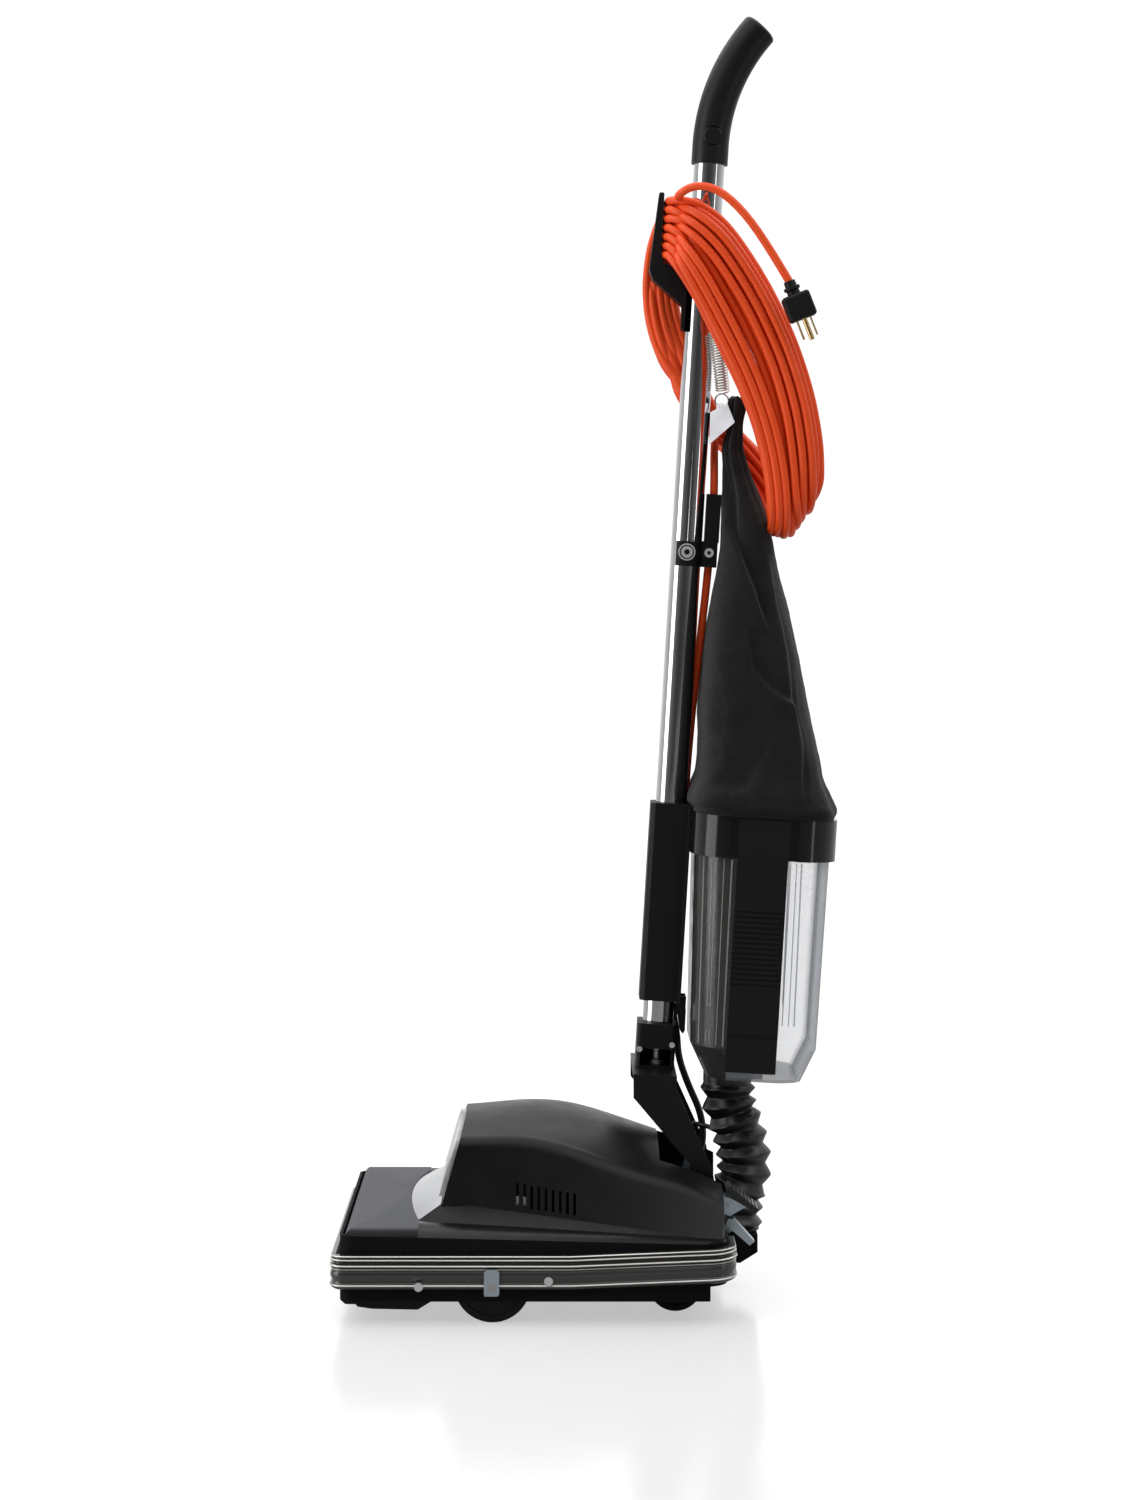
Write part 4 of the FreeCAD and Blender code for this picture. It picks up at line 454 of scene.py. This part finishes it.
def resampled(line, step):
    """The same line with evenly spaced points."""
    pts = np.array([tuple(p) for p in line])
    gaps = np.linalg.norm(np.diff(pts, axis=0), axis=1)
    at = np.concatenate([[0], np.cumsum(gaps)])
    count = max(2, int(round(at[-1] / step)) + 1)
    marks = np.linspace(0, at[-1], count)
    out = np.stack([np.interp(marks, at, pts[:, k]) for k in range(3)], axis=1)
    return [Vector(p) for p in out]


def tube_mesh(name, line, radius_at, columns, material, body="handle"):
    """A tube of changing radius swept along a line in a plane x = constant, or nearly so."""
    verts = []
    side = Vector((1, 0, 0))
    count = len(line)
    for i, p in enumerate(line):
        ahead = line[min(i + 1, count - 1)] - line[max(i - 1, 0)]
        ahead.normalize()
        across = (side - ahead * side.dot(ahead)).normalized()
        other = ahead.cross(across)
        for j in range(columns):
            angle = math.tau * j / columns
            r = radius_at(i, angle)
            verts.append(p + (across * math.cos(angle) + other * math.sin(angle)) * r)
    return mesh_piece(name, verts, ring_faces(count, columns), material, body)


# ---------------------------------------------------------------------------- mains cord

CORD_D = 7.6
TURNS = 20
NEAR_GUIDES = (
    ((-72, 846), (-54, 818), (-29, 772), (-6, 734), (12, 697), (27, 652), (35, 614)),
    ((-68, 879), (-40, 853), (-2, 797), (22, 750), (37, 703), (45, 655), (45, 614)),
    ((-64, 905), (-28, 890), (14, 832), (42, 780), (61, 731), (72, 683), (73, 648)),
)
FAR_GUIDES = (
    ((30, 632), (4, 668), (-24, 703), (-48, 741), (-63, 776), (-75, 808), (-81, 840)),
    ((38, 632), (10, 664), (-28, 698), (-58, 732), (-76, 770), (-88, 806), (-90, 848)),
    ((54, 636), (20, 672), (-22, 706), (-60, 738), (-84, 776), (-98, 814), (-97, 868)),
)
BOTTOMS = ((36, 598), (48, 598), (66, 625))

# the hook's trough holds the turns in three columns, stacked up from the lowest one
TROUGH_COLUMNS = (-82.2, -73.4, -64.6)
TROUGH_LOW, TROUGH_HEIGHT = 853.5, 53
# x, and the offsets in u and w from the column, where a turn crosses the trough
TROUGH_CROSSING = ((-23, -2, -2), (-8, 0, 0), (8, 0, 0), (23, 2, -0.5))
# the hanging turns lie in three layers on each side of the tube
NEAR_X, FAR_X, LAYER = 31, -26.5, 7.4
WANDER = 1.5
SLACK = 0.09


def between(guides, share):
    """The guide at share from the inner, through the middle, to the outer one."""
    share = min(max(share, 0.0), 1.0) * 2
    k = min(int(share), 1)
    low, high = np.array(guides[k], float), np.array(guides[k + 1], float)
    return low + (high - low) * (share - k)


def coil_points():
    """Control points of all the coil's turns in the handle frame, as x, u, w rows."""
    rng = np.random.default_rng(7)
    rows, kinds = [], []

    def put(x, u, w, kind):
        rows.append((x, u, w))
        kinds.append(kind)

    def strand(guide, x, kind):
        for k, (u, w) in enumerate(guide):
            put(x + rng.uniform(-WANDER, WANDER), u, w, kind)
            if k < len(guide) - 1:
                u2, w2 = (guide[k] + guide[k + 1]) / 2
                put(x + rng.uniform(-WANDER, WANDER), u2, w2, kind)

    for turn in range(TURNS):
        share = turn / (TURNS - 1)
        slack = rng.uniform(-SLACK, SLACK)
        column = TROUGH_COLUMNS[turn % 3]
        height = TROUGH_LOW + TROUGH_HEIGHT * share
        for x, du, dw in TROUGH_CROSSING:
            put(x, column + du, height + dw, "trough")
        if turn == TURNS - 1:
            break
        strand(between(NEAR_GUIDES, share + slack), NEAR_X + LAYER * (turn * 2 % 3), "near")
        low = between(BOTTOMS, share + slack)
        put(NEAR_X + LAYER * (turn * 2 % 3) - 10, low[0] + 1, low[1] + 3, "bottom")
        put(2, low[0] - 1, low[1] - rng.uniform(0, 3), "bottom")
        put(-18, low[0] - 5, low[1] + 5, "bottom")
        strand(between(FAR_GUIDES, share - slack), FAR_X - LAYER * ((turn + 1) % 3), "far")
    return np.array(rows), np.array(kinds)


def relaxed(points, kinds, rounds=70):
    """Push turns apart until they lie side by side, keeping each one smooth."""
    neighbours, same_place, room = 8, 14, CORD_D * 1.03
    push_share, longest_push, smoothing, pull_home = 0.35, 1.5, 0.25, 0.06
    home = points.copy()
    p = points.copy()
    count = len(p)
    index = np.arange(count)
    apart = np.abs(index[:, None] - index[None, :]) > neighbours
    limits = {"near": (29.8, 46.2), "far": (-42.2, -23.8)}
    free = kinds != "trough"
    for _ in range(rounds):
        gap = p[:, None, :] - p[None, :, :]
        along = np.zeros_like(p)
        along[1:-1] = p[2:] - p[:-2]
        along /= np.linalg.norm(along, axis=1)[:, None] + 1e-9
        # only the part of the gap across the strand counts
        flat = gap - (gap * along[:, None, :]).sum(-1)[..., None] * along[:, None, :]
        run = np.abs((gap * along[:, None, :]).sum(-1))
        distance = np.linalg.norm(flat, axis=2)
        close = apart & (run < same_place) & (distance < room)
        push = np.where(close, (room - distance) / 2, 0.0)
        direction = flat / (distance[..., None] + 1e-6)
        move = (direction * push[..., None]).sum(1) * push_share
        p[free] += np.clip(move, -longest_push, longest_push)[free]
        smooth = p.copy()
        smooth[1:-1] = (p[:-2] + 2 * p[1:-1] + p[2:]) / 4
        p[free] += (smooth[free] - p[free]) * smoothing
        p[free] += (home[free] - p[free]) * pull_home
        for kind, (low, high) in limits.items():
            mask = kinds == kind
            p[mask, 0] = np.clip(p[mask, 0], low, high)
    return p


# from the clamp's foot up the tube, then onto the coil, and from the coil to the plug
LEAD_ROUTE = (
    (-13, -33, 347),
    (-12, -32.6, 405),
    (-7, -28.6, 485),
    (-1, -24.8, 558),
    (0, -23.2, 622),
    (-2.4, -23.8, 648),
    (-19, -25.4, 683),
    (-27, -23, 712),
)
JOIN = ((-33, -37, 728), (-35, -52, 752), (-34, -64, 778), (-33, -74, 808), (-31, -80, 838))
TAIL_ROUTE = (
    (42, -76, 905),
    (50, -62, 915),
    (57, -40, 913),
    (62, -14, 892),
    (66, 12, 858),
    (66.5, 30, 831),
)
coil, kinds = coil_points()
coil = [tuple(p) for p in relaxed(coil, kinds)]
cord_points = [handle(*p) for p in (*LEAD_ROUTE, *JOIN, *coil, *TAIL_ROUTE)]
mains_cord = nurbs("mains_cord", cord_points, CORD_D / 2 * MM, "orange", "handle")
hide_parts("cord_lead", "cord_coil", "cord_tail")


# --------------------------------------------------------------- hose, lead and cable tie

HOSE_ROUTE = (
    (0, 0.138, 0.0533),
    (0, 0.138, 0.080),
    (0, 0.148, 0.107),
    (0, 0.1435, 0.142),
    tuple(handle(0, 21.5, 75)),
    tuple(handle(0, 21.5, 101.7)),
)
hose_line = resampled(centreline(HOSE_ROUTE, 40), 0.0008)
PLEATS = 9.5
ROOT_R, CUFF_R = 19.4, 22.6
CREST, SHOULDER = 3.2, 3.4


def hose_radius(i, angle):
    """Deep pointed pleats, a little askew, between two plain cuffs."""
    s = i / (len(hose_line) - 1)
    phase = (s * PLEATS + 0.09 * math.sin(angle) + 0.03 * math.sin(2 * angle + 5 * s)) % 1
    climb = 1 - abs(2 * phase - 1)
    crest = 1 - math.sqrt((1 - climb) ** 2 + 0.012)
    valley = math.sqrt(climb**2 + 0.006)
    r = ROOT_R + CREST * crest + SHOULDER * min(valley, 1)
    # a little out of round, differently at each height
    r += 0.25 * math.sin(3 * angle + 9 * s) + 0.2 * math.sin(5 * angle - 14 * s)
    past_lower_cuff = s / 0.04
    below_upper_cuff = max(0.0, (1 - s) / 0.1 - 0.6) / 0.4
    pleated = min(1.0, past_lower_cuff, below_upper_cuff)
    return (r * pleated + CUFF_R * (1 - pleated)) * MM


# the hose is split at its waist: the lower pleats stay where they are and the upper ones ride on the
# handle
WAIST_Z = 0.152
PLEAT_COLUMNS = 72
waist = next(i for i, p in enumerate(hose_line) if p.z > WAIST_Z)
hose = tube_mesh(
    "ribbed_hose", hose_line[: waist + 1], hose_radius, PLEAT_COLUMNS, "rubber", None
)
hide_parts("hose")
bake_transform(hose)
upper = tube_mesh(
    "ribbed_hose_top", hose_line[waist:], lambda i, a: hose_radius(i + waist, a), PLEAT_COLUMNS,
    "rubber",
)
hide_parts("hose")
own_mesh(upper)

LEAD_R = 3.3
LEAD_POINTS = (
    (-15, -35, 164.5),
    (-22, -31, 147),
    (-34, -26, 127),
    (-46, -23, 104),
    (-51, -12, 78),
    (-51, 2, 52),
    (-50.4, 6, 26),
    (-50, 0, 6),
    (-50, -3, -15),
)
lead_line = resampled(centreline([handle(*p) for p in LEAD_POINTS], 12), 0.003)
lead = tube_mesh("motor_cable", lead_line, lambda i, a: LEAD_R * MM, 16, "rubber", None)
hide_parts("motor_lead")
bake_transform(lead)


# ---------------------------------------------------------------------------- cloth bag

# front u, rear u, half-width and height w of the filled bag, from the hem to its gathered tail
BAG_STATIONS = np.array(
    (
        (-27.4, 103, 86.5, 343.6),
        (-28, 104.6, 88.5, 348),
        (-31, 104.4, 88.8, 351.5),
        (-31.2, 101.5, 87.5, 358),
        (-29, 98.4, 85.5, 365),
        (-25.6, 93, 81.5, 376),
        (-24.6, 86.5, 76.5, 400),
        (-26.2, 71, 68.5, 462),
        (-22.8, 54.5, 56, 522),
        (-18.5, 43.5, 46.5, 560),
        (-14.5, 32.5, 36.5, 600),
        (-15, 20, 25.5, 634),
        (-17, 6, 16, 663),
        (-18, 0.4, 12, 679),
        (-15, -1, 10.5, 692),
        (-13.5, -1.4, 9.6, 705),
        (-14, 0, 10.4, 716),
        (-13.6, 0.3, 10.2, 725),
    )
)
# A fold runs along its points; the cloth rises by up to lift before it and drops behind it.
# side, points (u, w), lift, drop, reach before, reach behind, edge
FOLDS = (
    (1, ((-17, 664), (-8, 603), (2.4, 580), (17, 549), (31, 511)), 3.6, -7.5, 14, 20, 1.5),
    (1, ((12, 515), (18, 478), (37, 459), (60, 446), (66, 423)), 2.4, -4.6, 12, 14, 2.5),
    (1, ((70, 352), (67, 411), (56, 458), (43, 524), (31, 590)), -4.2, 3.6, 13, 9, 2.5),
    (1, ((-14, 372), (2, 364), (20, 370), (36, 402), (40, 440)), 1.6, -3.6, 12, 22, 5),
    (1, ((-20, 500), (-4, 440), (-8, 372)), -1.6, 1.6, 12, 16, 5),
    (1, ((80, 356), (79, 380), (70, 430), (57, 490)), -1.4, 2.2, 9, 9, 3),
    (-1, ((-12, 660), (4, 600), (12, 540), (8, 470), (-6, 400)), 3.2, -6, 16, 20, 2),
    (-1, ((30, 600), (38, 530), (52, 450), (60, 380), (62, 352)), -4, 3.2, 14, 10, 2.5),
    (-1, ((-16, 470), (10, 430), (34, 420), (56, 440)), 2, -4, 16, 14, 4),
    (-1, ((-20, 380), (12, 366), (40, 372), (70, 400)), 1.4, -3, 12, 18, 5),
)

# heights w and, at each of them: how boxy the bag is, and how far its tail gathers, its hem
# flares and its cloth crumples
BOXY = ((350, 480, 640, 700), (4.2, 3.2, 2.2, 2.6))
GATHER = ((560, 660, 700, 725), (0, 1, 1, 1.6))
FLARE = ((344, 352, 372, 420), (0, 1, 0.6, 0))
CRUMPLE = ((344, 356, 640, 690), (0.15, 1, 1, 0.2))
RAGGED_ROWS = 6


def along_fold(p, q, points):
    """Signed distance from the fold and share of the way along it, for arrays p and q."""
    best = np.full(p.shape, 1e9)
    signed = np.zeros(p.shape)
    share = np.zeros(p.shape)
    for k in range(len(points) - 1):
        (a0, a1), (b0, b1) = points[k], points[k + 1]
        dx, dy = b0 - a0, b1 - a1
        length = math.hypot(dx, dy)
        t = np.clip(((p - a0) * dx + (q - a1) * dy) / length**2, 0, 1)
        off_x, off_y = p - a0 - t * dx, q - a1 - t * dy
        distance = np.hypot(off_x, off_y)
        closer = distance < best
        side = np.sign(off_x * -dy + off_y * dx)
        best = np.where(closer, distance, best)
        signed = np.where(closer, distance * side, signed)
        share = np.where(closer, (k + t) / (len(points) - 1), share)
    return signed, share


def spline_table(table, at):
    """Smooth cubic values of each column of the table against its last column."""
    x = table[:, -1]
    out = []
    for column in table[:, :-1].T:
        secant = np.diff(column) / np.diff(x)
        slope = np.concatenate([[secant[0]], (secant[:-1] + secant[1:]) / 2, [secant[-1]]])
        k = np.clip(np.searchsorted(x, at) - 1, 0, len(x) - 2)
        h = x[k + 1] - x[k]
        t = (at - x[k]) / h
        value = (2 * t**3 - 3 * t**2 + 1) * column[k] + (t**3 - 2 * t**2 + t) * h * slope[k]
        value += (3 * t**2 - 2 * t**3) * column[k + 1] + (t**3 - t**2) * h * slope[k + 1]
        out.append(value)
    return out


def smooth_noise(p, scale, seed):
    """Soft bumps between about -1 and 1."""
    rng = np.random.default_rng(seed)
    total = np.zeros(p.shape[:-1])
    for octave in range(3):
        for _ in range(5):
            k = rng.normal(size=3) * (1.7**octave) / scale
            total += np.sin(p @ k + rng.uniform(0, 6.3)) / (1.5**octave)
    return total / 5


def bag_rings(heights, columns):
    """Evenly spaced points round the smooth bag at each height, in the handle frame."""
    front, rear, half = spline_table(BAG_STATIONS, heights)
    turn = np.linspace(0, math.tau, 2400, endpoint=False)
    c, s = np.cos(turn), np.sin(turn)
    grid = np.zeros((len(heights), columns, 3))
    for i, w in enumerate(heights):
        power = 2 / float(np.interp(w, *BOXY))
        x = half[i] * np.sign(c) * np.abs(c) ** power
        u = (front[i] + rear[i]) / 2 + (rear[i] - front[i]) / 2 * np.sign(s) * np.abs(s) ** power
        step = np.hypot(np.diff(x, append=x[0]), np.diff(u, append=u[0]))
        run = np.concatenate([[0], np.cumsum(step)])
        marks = np.linspace(0, run[-1], columns, endpoint=False)
        grid[i, :, 0] = np.interp(marks, run, np.append(x, x[0]))
        grid[i, :, 1] = np.interp(marks, run, np.append(u, u[0]))
        grid[i, :, 2] = w
    return grid, (front + rear) / 2, half


def fold_rise(x, u, w, half):
    """How far the folds lift or sink the cloth at each point."""
    rise = np.zeros_like(x)
    for side, points, lift, drop, before, behind, edge in FOLDS:
        signed, share = along_fold(u, w, points)
        blend = 0.5 + 0.5 * np.tanh(signed / edge)
        shape = lift * np.exp(np.minimum(signed, 0) / before) * (1 - blend)
        shape += drop * np.exp(-np.maximum(signed, 0) / behind) * blend
        taper = np.clip(share / 0.12, 0, 1) * np.clip((1 - share) / 0.15, 0, 1)
        facing = np.clip(side * x / np.maximum(half[:, None] * 0.55, 1), 0, 1)
        rise += shape * taper * facing
    return rise


def make_bag():
    """The filled bag as rings of vertices, raised and sunk along its normals by its folds."""
    rows, hem_rows, columns = 300, 50, 260
    low, hem_top, high = BAG_STATIONS[0, 3], 380, BAG_STATIONS[-1, 3]
    hem = np.linspace(low, hem_top, hem_rows)
    heights = np.concatenate([hem, np.linspace(hem_top + 0.8, high, rows - hem_rows)])
    grid, middle, half = bag_rings(heights, columns)
    across = np.roll(grid, -1, 1) - np.roll(grid, 1, 1)
    normal = np.cross(across, np.gradient(grid, axis=0))
    normal /= np.linalg.norm(normal, axis=2)[..., None]
    x, u, w = grid[..., 0], grid[..., 1], grid[..., 2]
    angle = np.arctan2(u - middle[:, None], x)
    rise = fold_rise(x, u, w, half)
    gathers = 0.9 * np.cos(7 * angle + 0.6) + 0.5 * np.cos(13 * angle + 2)
    rise += np.interp(w, *GATHER) * gathers
    rise += np.interp(w, *FLARE) * (0.8 * np.cos(11 * angle) + 0.6 * np.cos(17 * angle + 1))
    crumples = 1.5 * smooth_noise(grid, 34, 3) + 0.5 * smooth_noise(grid, 12, 5)
    rise += np.interp(w, *CRUMPLE) * crumples
    grid += normal * rise[..., None]
    tail = angle[-RAGGED_ROWS:]
    grid[-RAGGED_ROWS:, :, 2] += 1.6 * np.cos(5 * tail + 1) + np.cos(9 * tail)
    verts = [handle(*p) for p in grid.reshape(-1, 3)]
    return mesh_piece("filter_bag", verts, ring_faces(rows, columns), "cloth")


bag = make_bag()
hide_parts("cloth_bag")


# ------------------------------------------------------------------------ furniture guard

BASE_HALF, BASE_FRONT, BASE_REAR = 156, -219, 124
FRONT_CORNER, REAR_CORNER = 5, 15
GUARD_END = 103
GUARD_LOW, GUARD_HEIGHT, GUARD_DEPTH = 31.5, 30, 9
# the guard rises towards the rear from here on
RISE_FROM = -14
RISE = math.tan(math.radians(2.4))
# height above the guard's underside and depth out from the base, up the guard's outer face
GUARD_PROFILE = (
    (0, 4.6), (1.2, 6.7), (2.4, 7.7), (3, 8.1), (3.8, 9), (4.8, 8.2), (5.6, 7.2), (7.5, 6.6),
    (12, 8.1), (16, 7.5), (17.2, 6.8), (18.1, 8), (18.9, 7.1), (19.6, 7.2), (21, 9), (22.3, 7.5),
    (23.5, 6), (24.6, 6.4), (26.1, 8.3), (27.4, 6.9), (28.3, 6.5), (29.3, 7.9), (30, 6.9),
)
# heights of the beads up the profile, whose faces carry the painted highlight
PAINTED_HIGHLIGHT_BEADS = ((3.2, 4.5), (17.7, 18.5), (20.3, 21.8), (25.4, 26.8), (28.8, 29.8))


def guard_path():
    """Points on the base's outline with their outward directions, half way round."""
    rear_x, rear_y = BASE_HALF - REAR_CORNER, BASE_REAR - REAR_CORNER
    front_x, front_y = BASE_HALF - FRONT_CORNER, BASE_FRONT + FRONT_CORNER
    path = [((x, BASE_REAR), (0, 1)) for x in np.linspace(GUARD_END, rear_x, 8)]
    for angle in np.linspace(90, 0, 14)[1:]:
        c, t = math.cos(math.radians(angle)), math.sin(math.radians(angle))
        path.append(((rear_x + REAR_CORNER * c, rear_y + REAR_CORNER * t), (c, t)))
    path += [((BASE_HALF, y), (1, 0)) for y in np.linspace(rear_y, front_y, 66)[1:]]
    for angle in np.linspace(0, -90, 12)[1:]:
        c, t = math.cos(math.radians(angle)), math.sin(math.radians(angle))
        path.append(((front_x + FRONT_CORNER * c, front_y + FRONT_CORNER * t), (c, t)))
    path += [((x, BASE_FRONT), (0, -1)) for x in np.linspace(front_x, 0, 24)[1:]]
    return path


def make_guard():
    """The guard's moulded profile swept round the base, with a painted highlight on its beads: a
    pale half-metal colour standing in for the light they catch.
    """
    table = np.array([(depth, height) for height, depth in GUARD_PROFILE], float)
    heights = np.linspace(0, GUARD_HEIGHT, 150)
    (depths,) = spline_table(table, heights)
    outline = [(0, 0)] + list(zip(depths, heights)) + [(0, GUARD_HEIGHT)]
    half = guard_path()
    path = half + [((-p[0], p[1]), (-d[0], d[1])) for p, d in half[-2::-1]]
    verts = []
    for (x, y), (dx, dy) in path:
        low = GUARD_LOW + max(0, y + dy * GUARD_DEPTH - RISE_FROM) * RISE
        for depth, height in outline:
            verts.append(Vector((x + dx * depth, y + dy * depth, low + height)) * MM)
    columns = len(outline)
    obj = mesh_piece("bead_guard", verts, ring_faces(len(path), columns), "guard", "base")
    # painted highlight: faces within the bead heights take the pale bead material
    obj.data.materials.append(MATERIALS["bead"])
    for polygon in obj.data.polygons:
        height = outline[min(polygon.vertices) % columns][1]
        if len(polygon.vertices) == 4 and any(a <= height <= b for a, b in PAINTED_HIGHLIGHT_BEADS):
            polygon.material_index = 1
    return obj


guard = make_guard()
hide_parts("furniture_guard")


# ---------------------------------------------------------------------- lines of the cup


# height w, then front u, rear u, half-width and corner radius of the cup's outer wall there
CUP_SECTIONS = (
    (102, -1, 86.5, 66, 30),
    (131.6, -17, 98.8, 78, 40),
    (305.2, -23.4, 100.3, 80, 40),
)


def cup_wall(u, w):
    """How far the cup's side stands from its middle plane at (u, w)."""
    pair = CUP_SECTIONS[1:] if w > CUP_SECTIONS[1][0] else CUP_SECTIONS[:2]
    (low_w, *low), (high_w, *high) = pair
    t = (w - low_w) / (high_w - low_w)
    front, rear, half, radius = (a + (b - a) * t for a, b in zip(low, high))
    beyond = min(radius, max(0, front + radius - u, u - rear + radius))
    return half - radius + math.sqrt(radius * radius - beyond * beyond)


def cup_line(name, side, top, foot, width, look):
    """A slim raised line down the cup's side wall from (u, w) at its top to its foot."""
    steps, sunk, raised = 12, -0.3, 0.35
    edge = width * 0.6
    verts = []
    for i in range(steps + 1):
        t = i / steps
        u, w = (a + (b - a) * t for a, b in zip(top, foot))
        for du, proud in ((-width, sunk), (-edge, raised), (edge, raised), (width, sunk)):
            verts.append(handle(side * (cup_wall(u + du, w) + proud), u + du, w))
    mesh_piece(name, verts, ring_faces(steps + 1, 4), look, "cup", smooth=False)


# top (u, w), foot (u, w), half-width and look
CUP_LINES = (
    ((-15.5, 304), (-10.5, 134), 0.7, "edge"),
    ((-8.6, 304), (-4.6, 169), 0.45, "edge"),
    ((-5.4, 304), (-2.0, 169), 0.45, "edge"),
    ((-4.6, 147.3), (-4.4, 136), 0.4, "edge"),
    ((-1.4, 147.3), (-1.2, 136), 0.4, "edge"),
    ((2.4, 304), (4.8, 134), 0.55, "edge"),
    ((9.4, 304), (11, 134), 0.9, "edge"),
    ((62.6, 304), (63.6, 156), 0.5, "rim"),
    ((68, 304), (69.4, 156), 0.5, "rim"),
    ((72.6, 304), (74.6, 156), 0.7, "rim"),
)
for side, hand in ((1, "left"), (-1, "right")):
    for i, (top, foot, width, look) in enumerate(CUP_LINES):
        cup_line(f"cup_line_{hand}_{i}", side, top, foot, width, look)


# -------------------------------------------------------------------------- painted shade on the bolts


def painted_bolt_shade(name, x, u, w, radius, sides):
    """A thin dark disc or hexagon on the outer face of a bolt: painted shade standing in for a
    socket recess or the shadow round a head.
    """
    verts = []
    for proud in (-0.3, 0.12):
        for i in range(sides):
            turn = math.tau * i / sides
            verts.append(handle(x + proud, u + radius * math.cos(turn), w + radius * math.sin(turn)))
    mesh_piece(name, verts, ring_faces(2, sides), "wheel", smooth=False)


# painted shade: dark hexagons for the socket recesses and a dark ring of shadow round the tube
# bolt's head
painted_bolt_shade("tube_bolt_socket_painted_shade", 21.4, -46.1, 580, 2.8, 6)
painted_bolt_shade("tube_bolt_shadow", 18.2, -46.1, 580, 6.6, 36)
painted_bolt_shade("clamp_screw_socket_painted_shade", 11.2, -25.2, 580.4, 1.9, 6)


# ----------------------------------------------------------------------------- cable tie

TIE_R = 2.3
TIE_POINTS = (
    (-0.048, 0.1005, 0.1425),
    (-0.047, 0.108, 0.1415),
    (-0.038, 0.116, 0.141),
    (-0.022, 0.1225, 0.1405),
)
tie_line = resampled(centreline(TIE_POINTS, 12), 0.0015)
tie = tube_mesh("cable_tie", tie_line, lambda i, a: TIE_R * MM, 10, "rubber", None)
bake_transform(tie)


# ------------------------------------------------------------------------------ the stage

FLOOR_HALF = 9


def pale_floor():
    """A satin pale floor, brighter to the camera than in reflections."""
    n = Nodes("pale_floor")
    tint = n.ramp(n.noise(3), 0.3, 0.7, (0.33, 0.33, 0.332), (0.35, 0.35, 0.35))
    n.link(tint, n.shader.inputs["Base Color"])
    n.link(n.span(n.noise(20), 0.3, 0.7, 0.14, 0.18), n.shader.inputs["Roughness"])
    n.set(specular=0.4)
    n.shader.inputs["Emission Color"].default_value = (1, 1, 1, 1)
    direct = n.add("ShaderNodeLightPath").outputs["Is Camera Ray"]
    n.link(n.span(direct, 0, 1, 0.04, 0.5), n.shader.inputs["Emission Strength"])
    return n.material


floor_mesh = bpy.data.meshes.new("floor")
corners = [(x * FLOOR_HALF, y * FLOOR_HALF, 0) for x, y in ((-1, -1), (1, -1), (1, 1), (-1, 1))]
floor_mesh.from_pydata(corners, [], [(0, 1, 2, 3)])
floor_mesh.materials.append(pale_floor())
floor = bpy.data.objects.new("floor", floor_mesh)
bpy.context.scene.collection.objects.link(floor)

bpy.context.scene.view_settings.view_transform = "Standard"


def studio():
    """A white room for the eye, and for everything else a studio that is dark on the near side."""
    world = bpy.data.worlds.new("studio")
    world.use_nodes = True
    nodes, link = world.node_tree.nodes, world.node_tree.links.new
    room = nodes["Background"]
    direction = nodes.new("ShaderNodeTexCoord").outputs["Generated"]
    split = nodes.new("ShaderNodeSeparateXYZ")
    link(direction, split.inputs[0])
    shade = nodes.new("ShaderNodeMapRange")
    for key, value in {"From Min": -1, "From Max": 1, "To Min": 1.0, "To Max": 0.05}.items():
        shade.inputs[key].default_value = value
    link(split.outputs["X"], shade.inputs["Value"])
    link(shade.outputs["Result"], room.inputs["Strength"])
    paper = nodes.new("ShaderNodeBackground")
    paper.inputs["Strength"].default_value = 1.05
    choose = nodes.new("ShaderNodeMixShader")
    link(nodes.new("ShaderNodeLightPath").outputs["Is Camera Ray"], choose.inputs[0])
    link(room.outputs[0], choose.inputs[1])
    link(paper.outputs[0], choose.inputs[2])
    link(choose.outputs[0], nodes["World Output"].inputs["Surface"])
    for node in (room, paper):
        node.inputs["Color"].default_value = (1, 1, 1, 1)
    return world


def softbox(name, location, target, size, radiance):
    """A rectangular light seen in reflections and never by the camera."""
    data = bpy.data.lights.new(name, "AREA")
    data.shape = "RECTANGLE"
    data.size, data.size_y = size
    data.energy = radiance * math.pi * size[0] * size[1]
    obj = bpy.data.objects.new(name, data)
    obj.location = location
    obj.rotation_euler = (Vector(target) - Vector(location)).to_track_quat("-Z", "Y").to_euler()
    obj.visible_camera = False
    bpy.context.scene.collection.objects.link(obj)


bpy.context.scene.world = studio()
softbox("overhead", (0, 0, 3.2), (0, 0, 0), (6.5, 6.5), 1.4)
softbox("clip_card", (2.9, 0.22, 0.86), (0, 0.12, 0.8), (0.3, 0.56), 1.4)
softbox("key_strip", (0.75, -2.1, 1.05), (0, 0, 0.75), (1.3, 2.1), 3.2)
softbox("right_strip", (1.35, 2.1, 0.95), (0, 0, 0.6), (0.18, 1.9), 3.0)
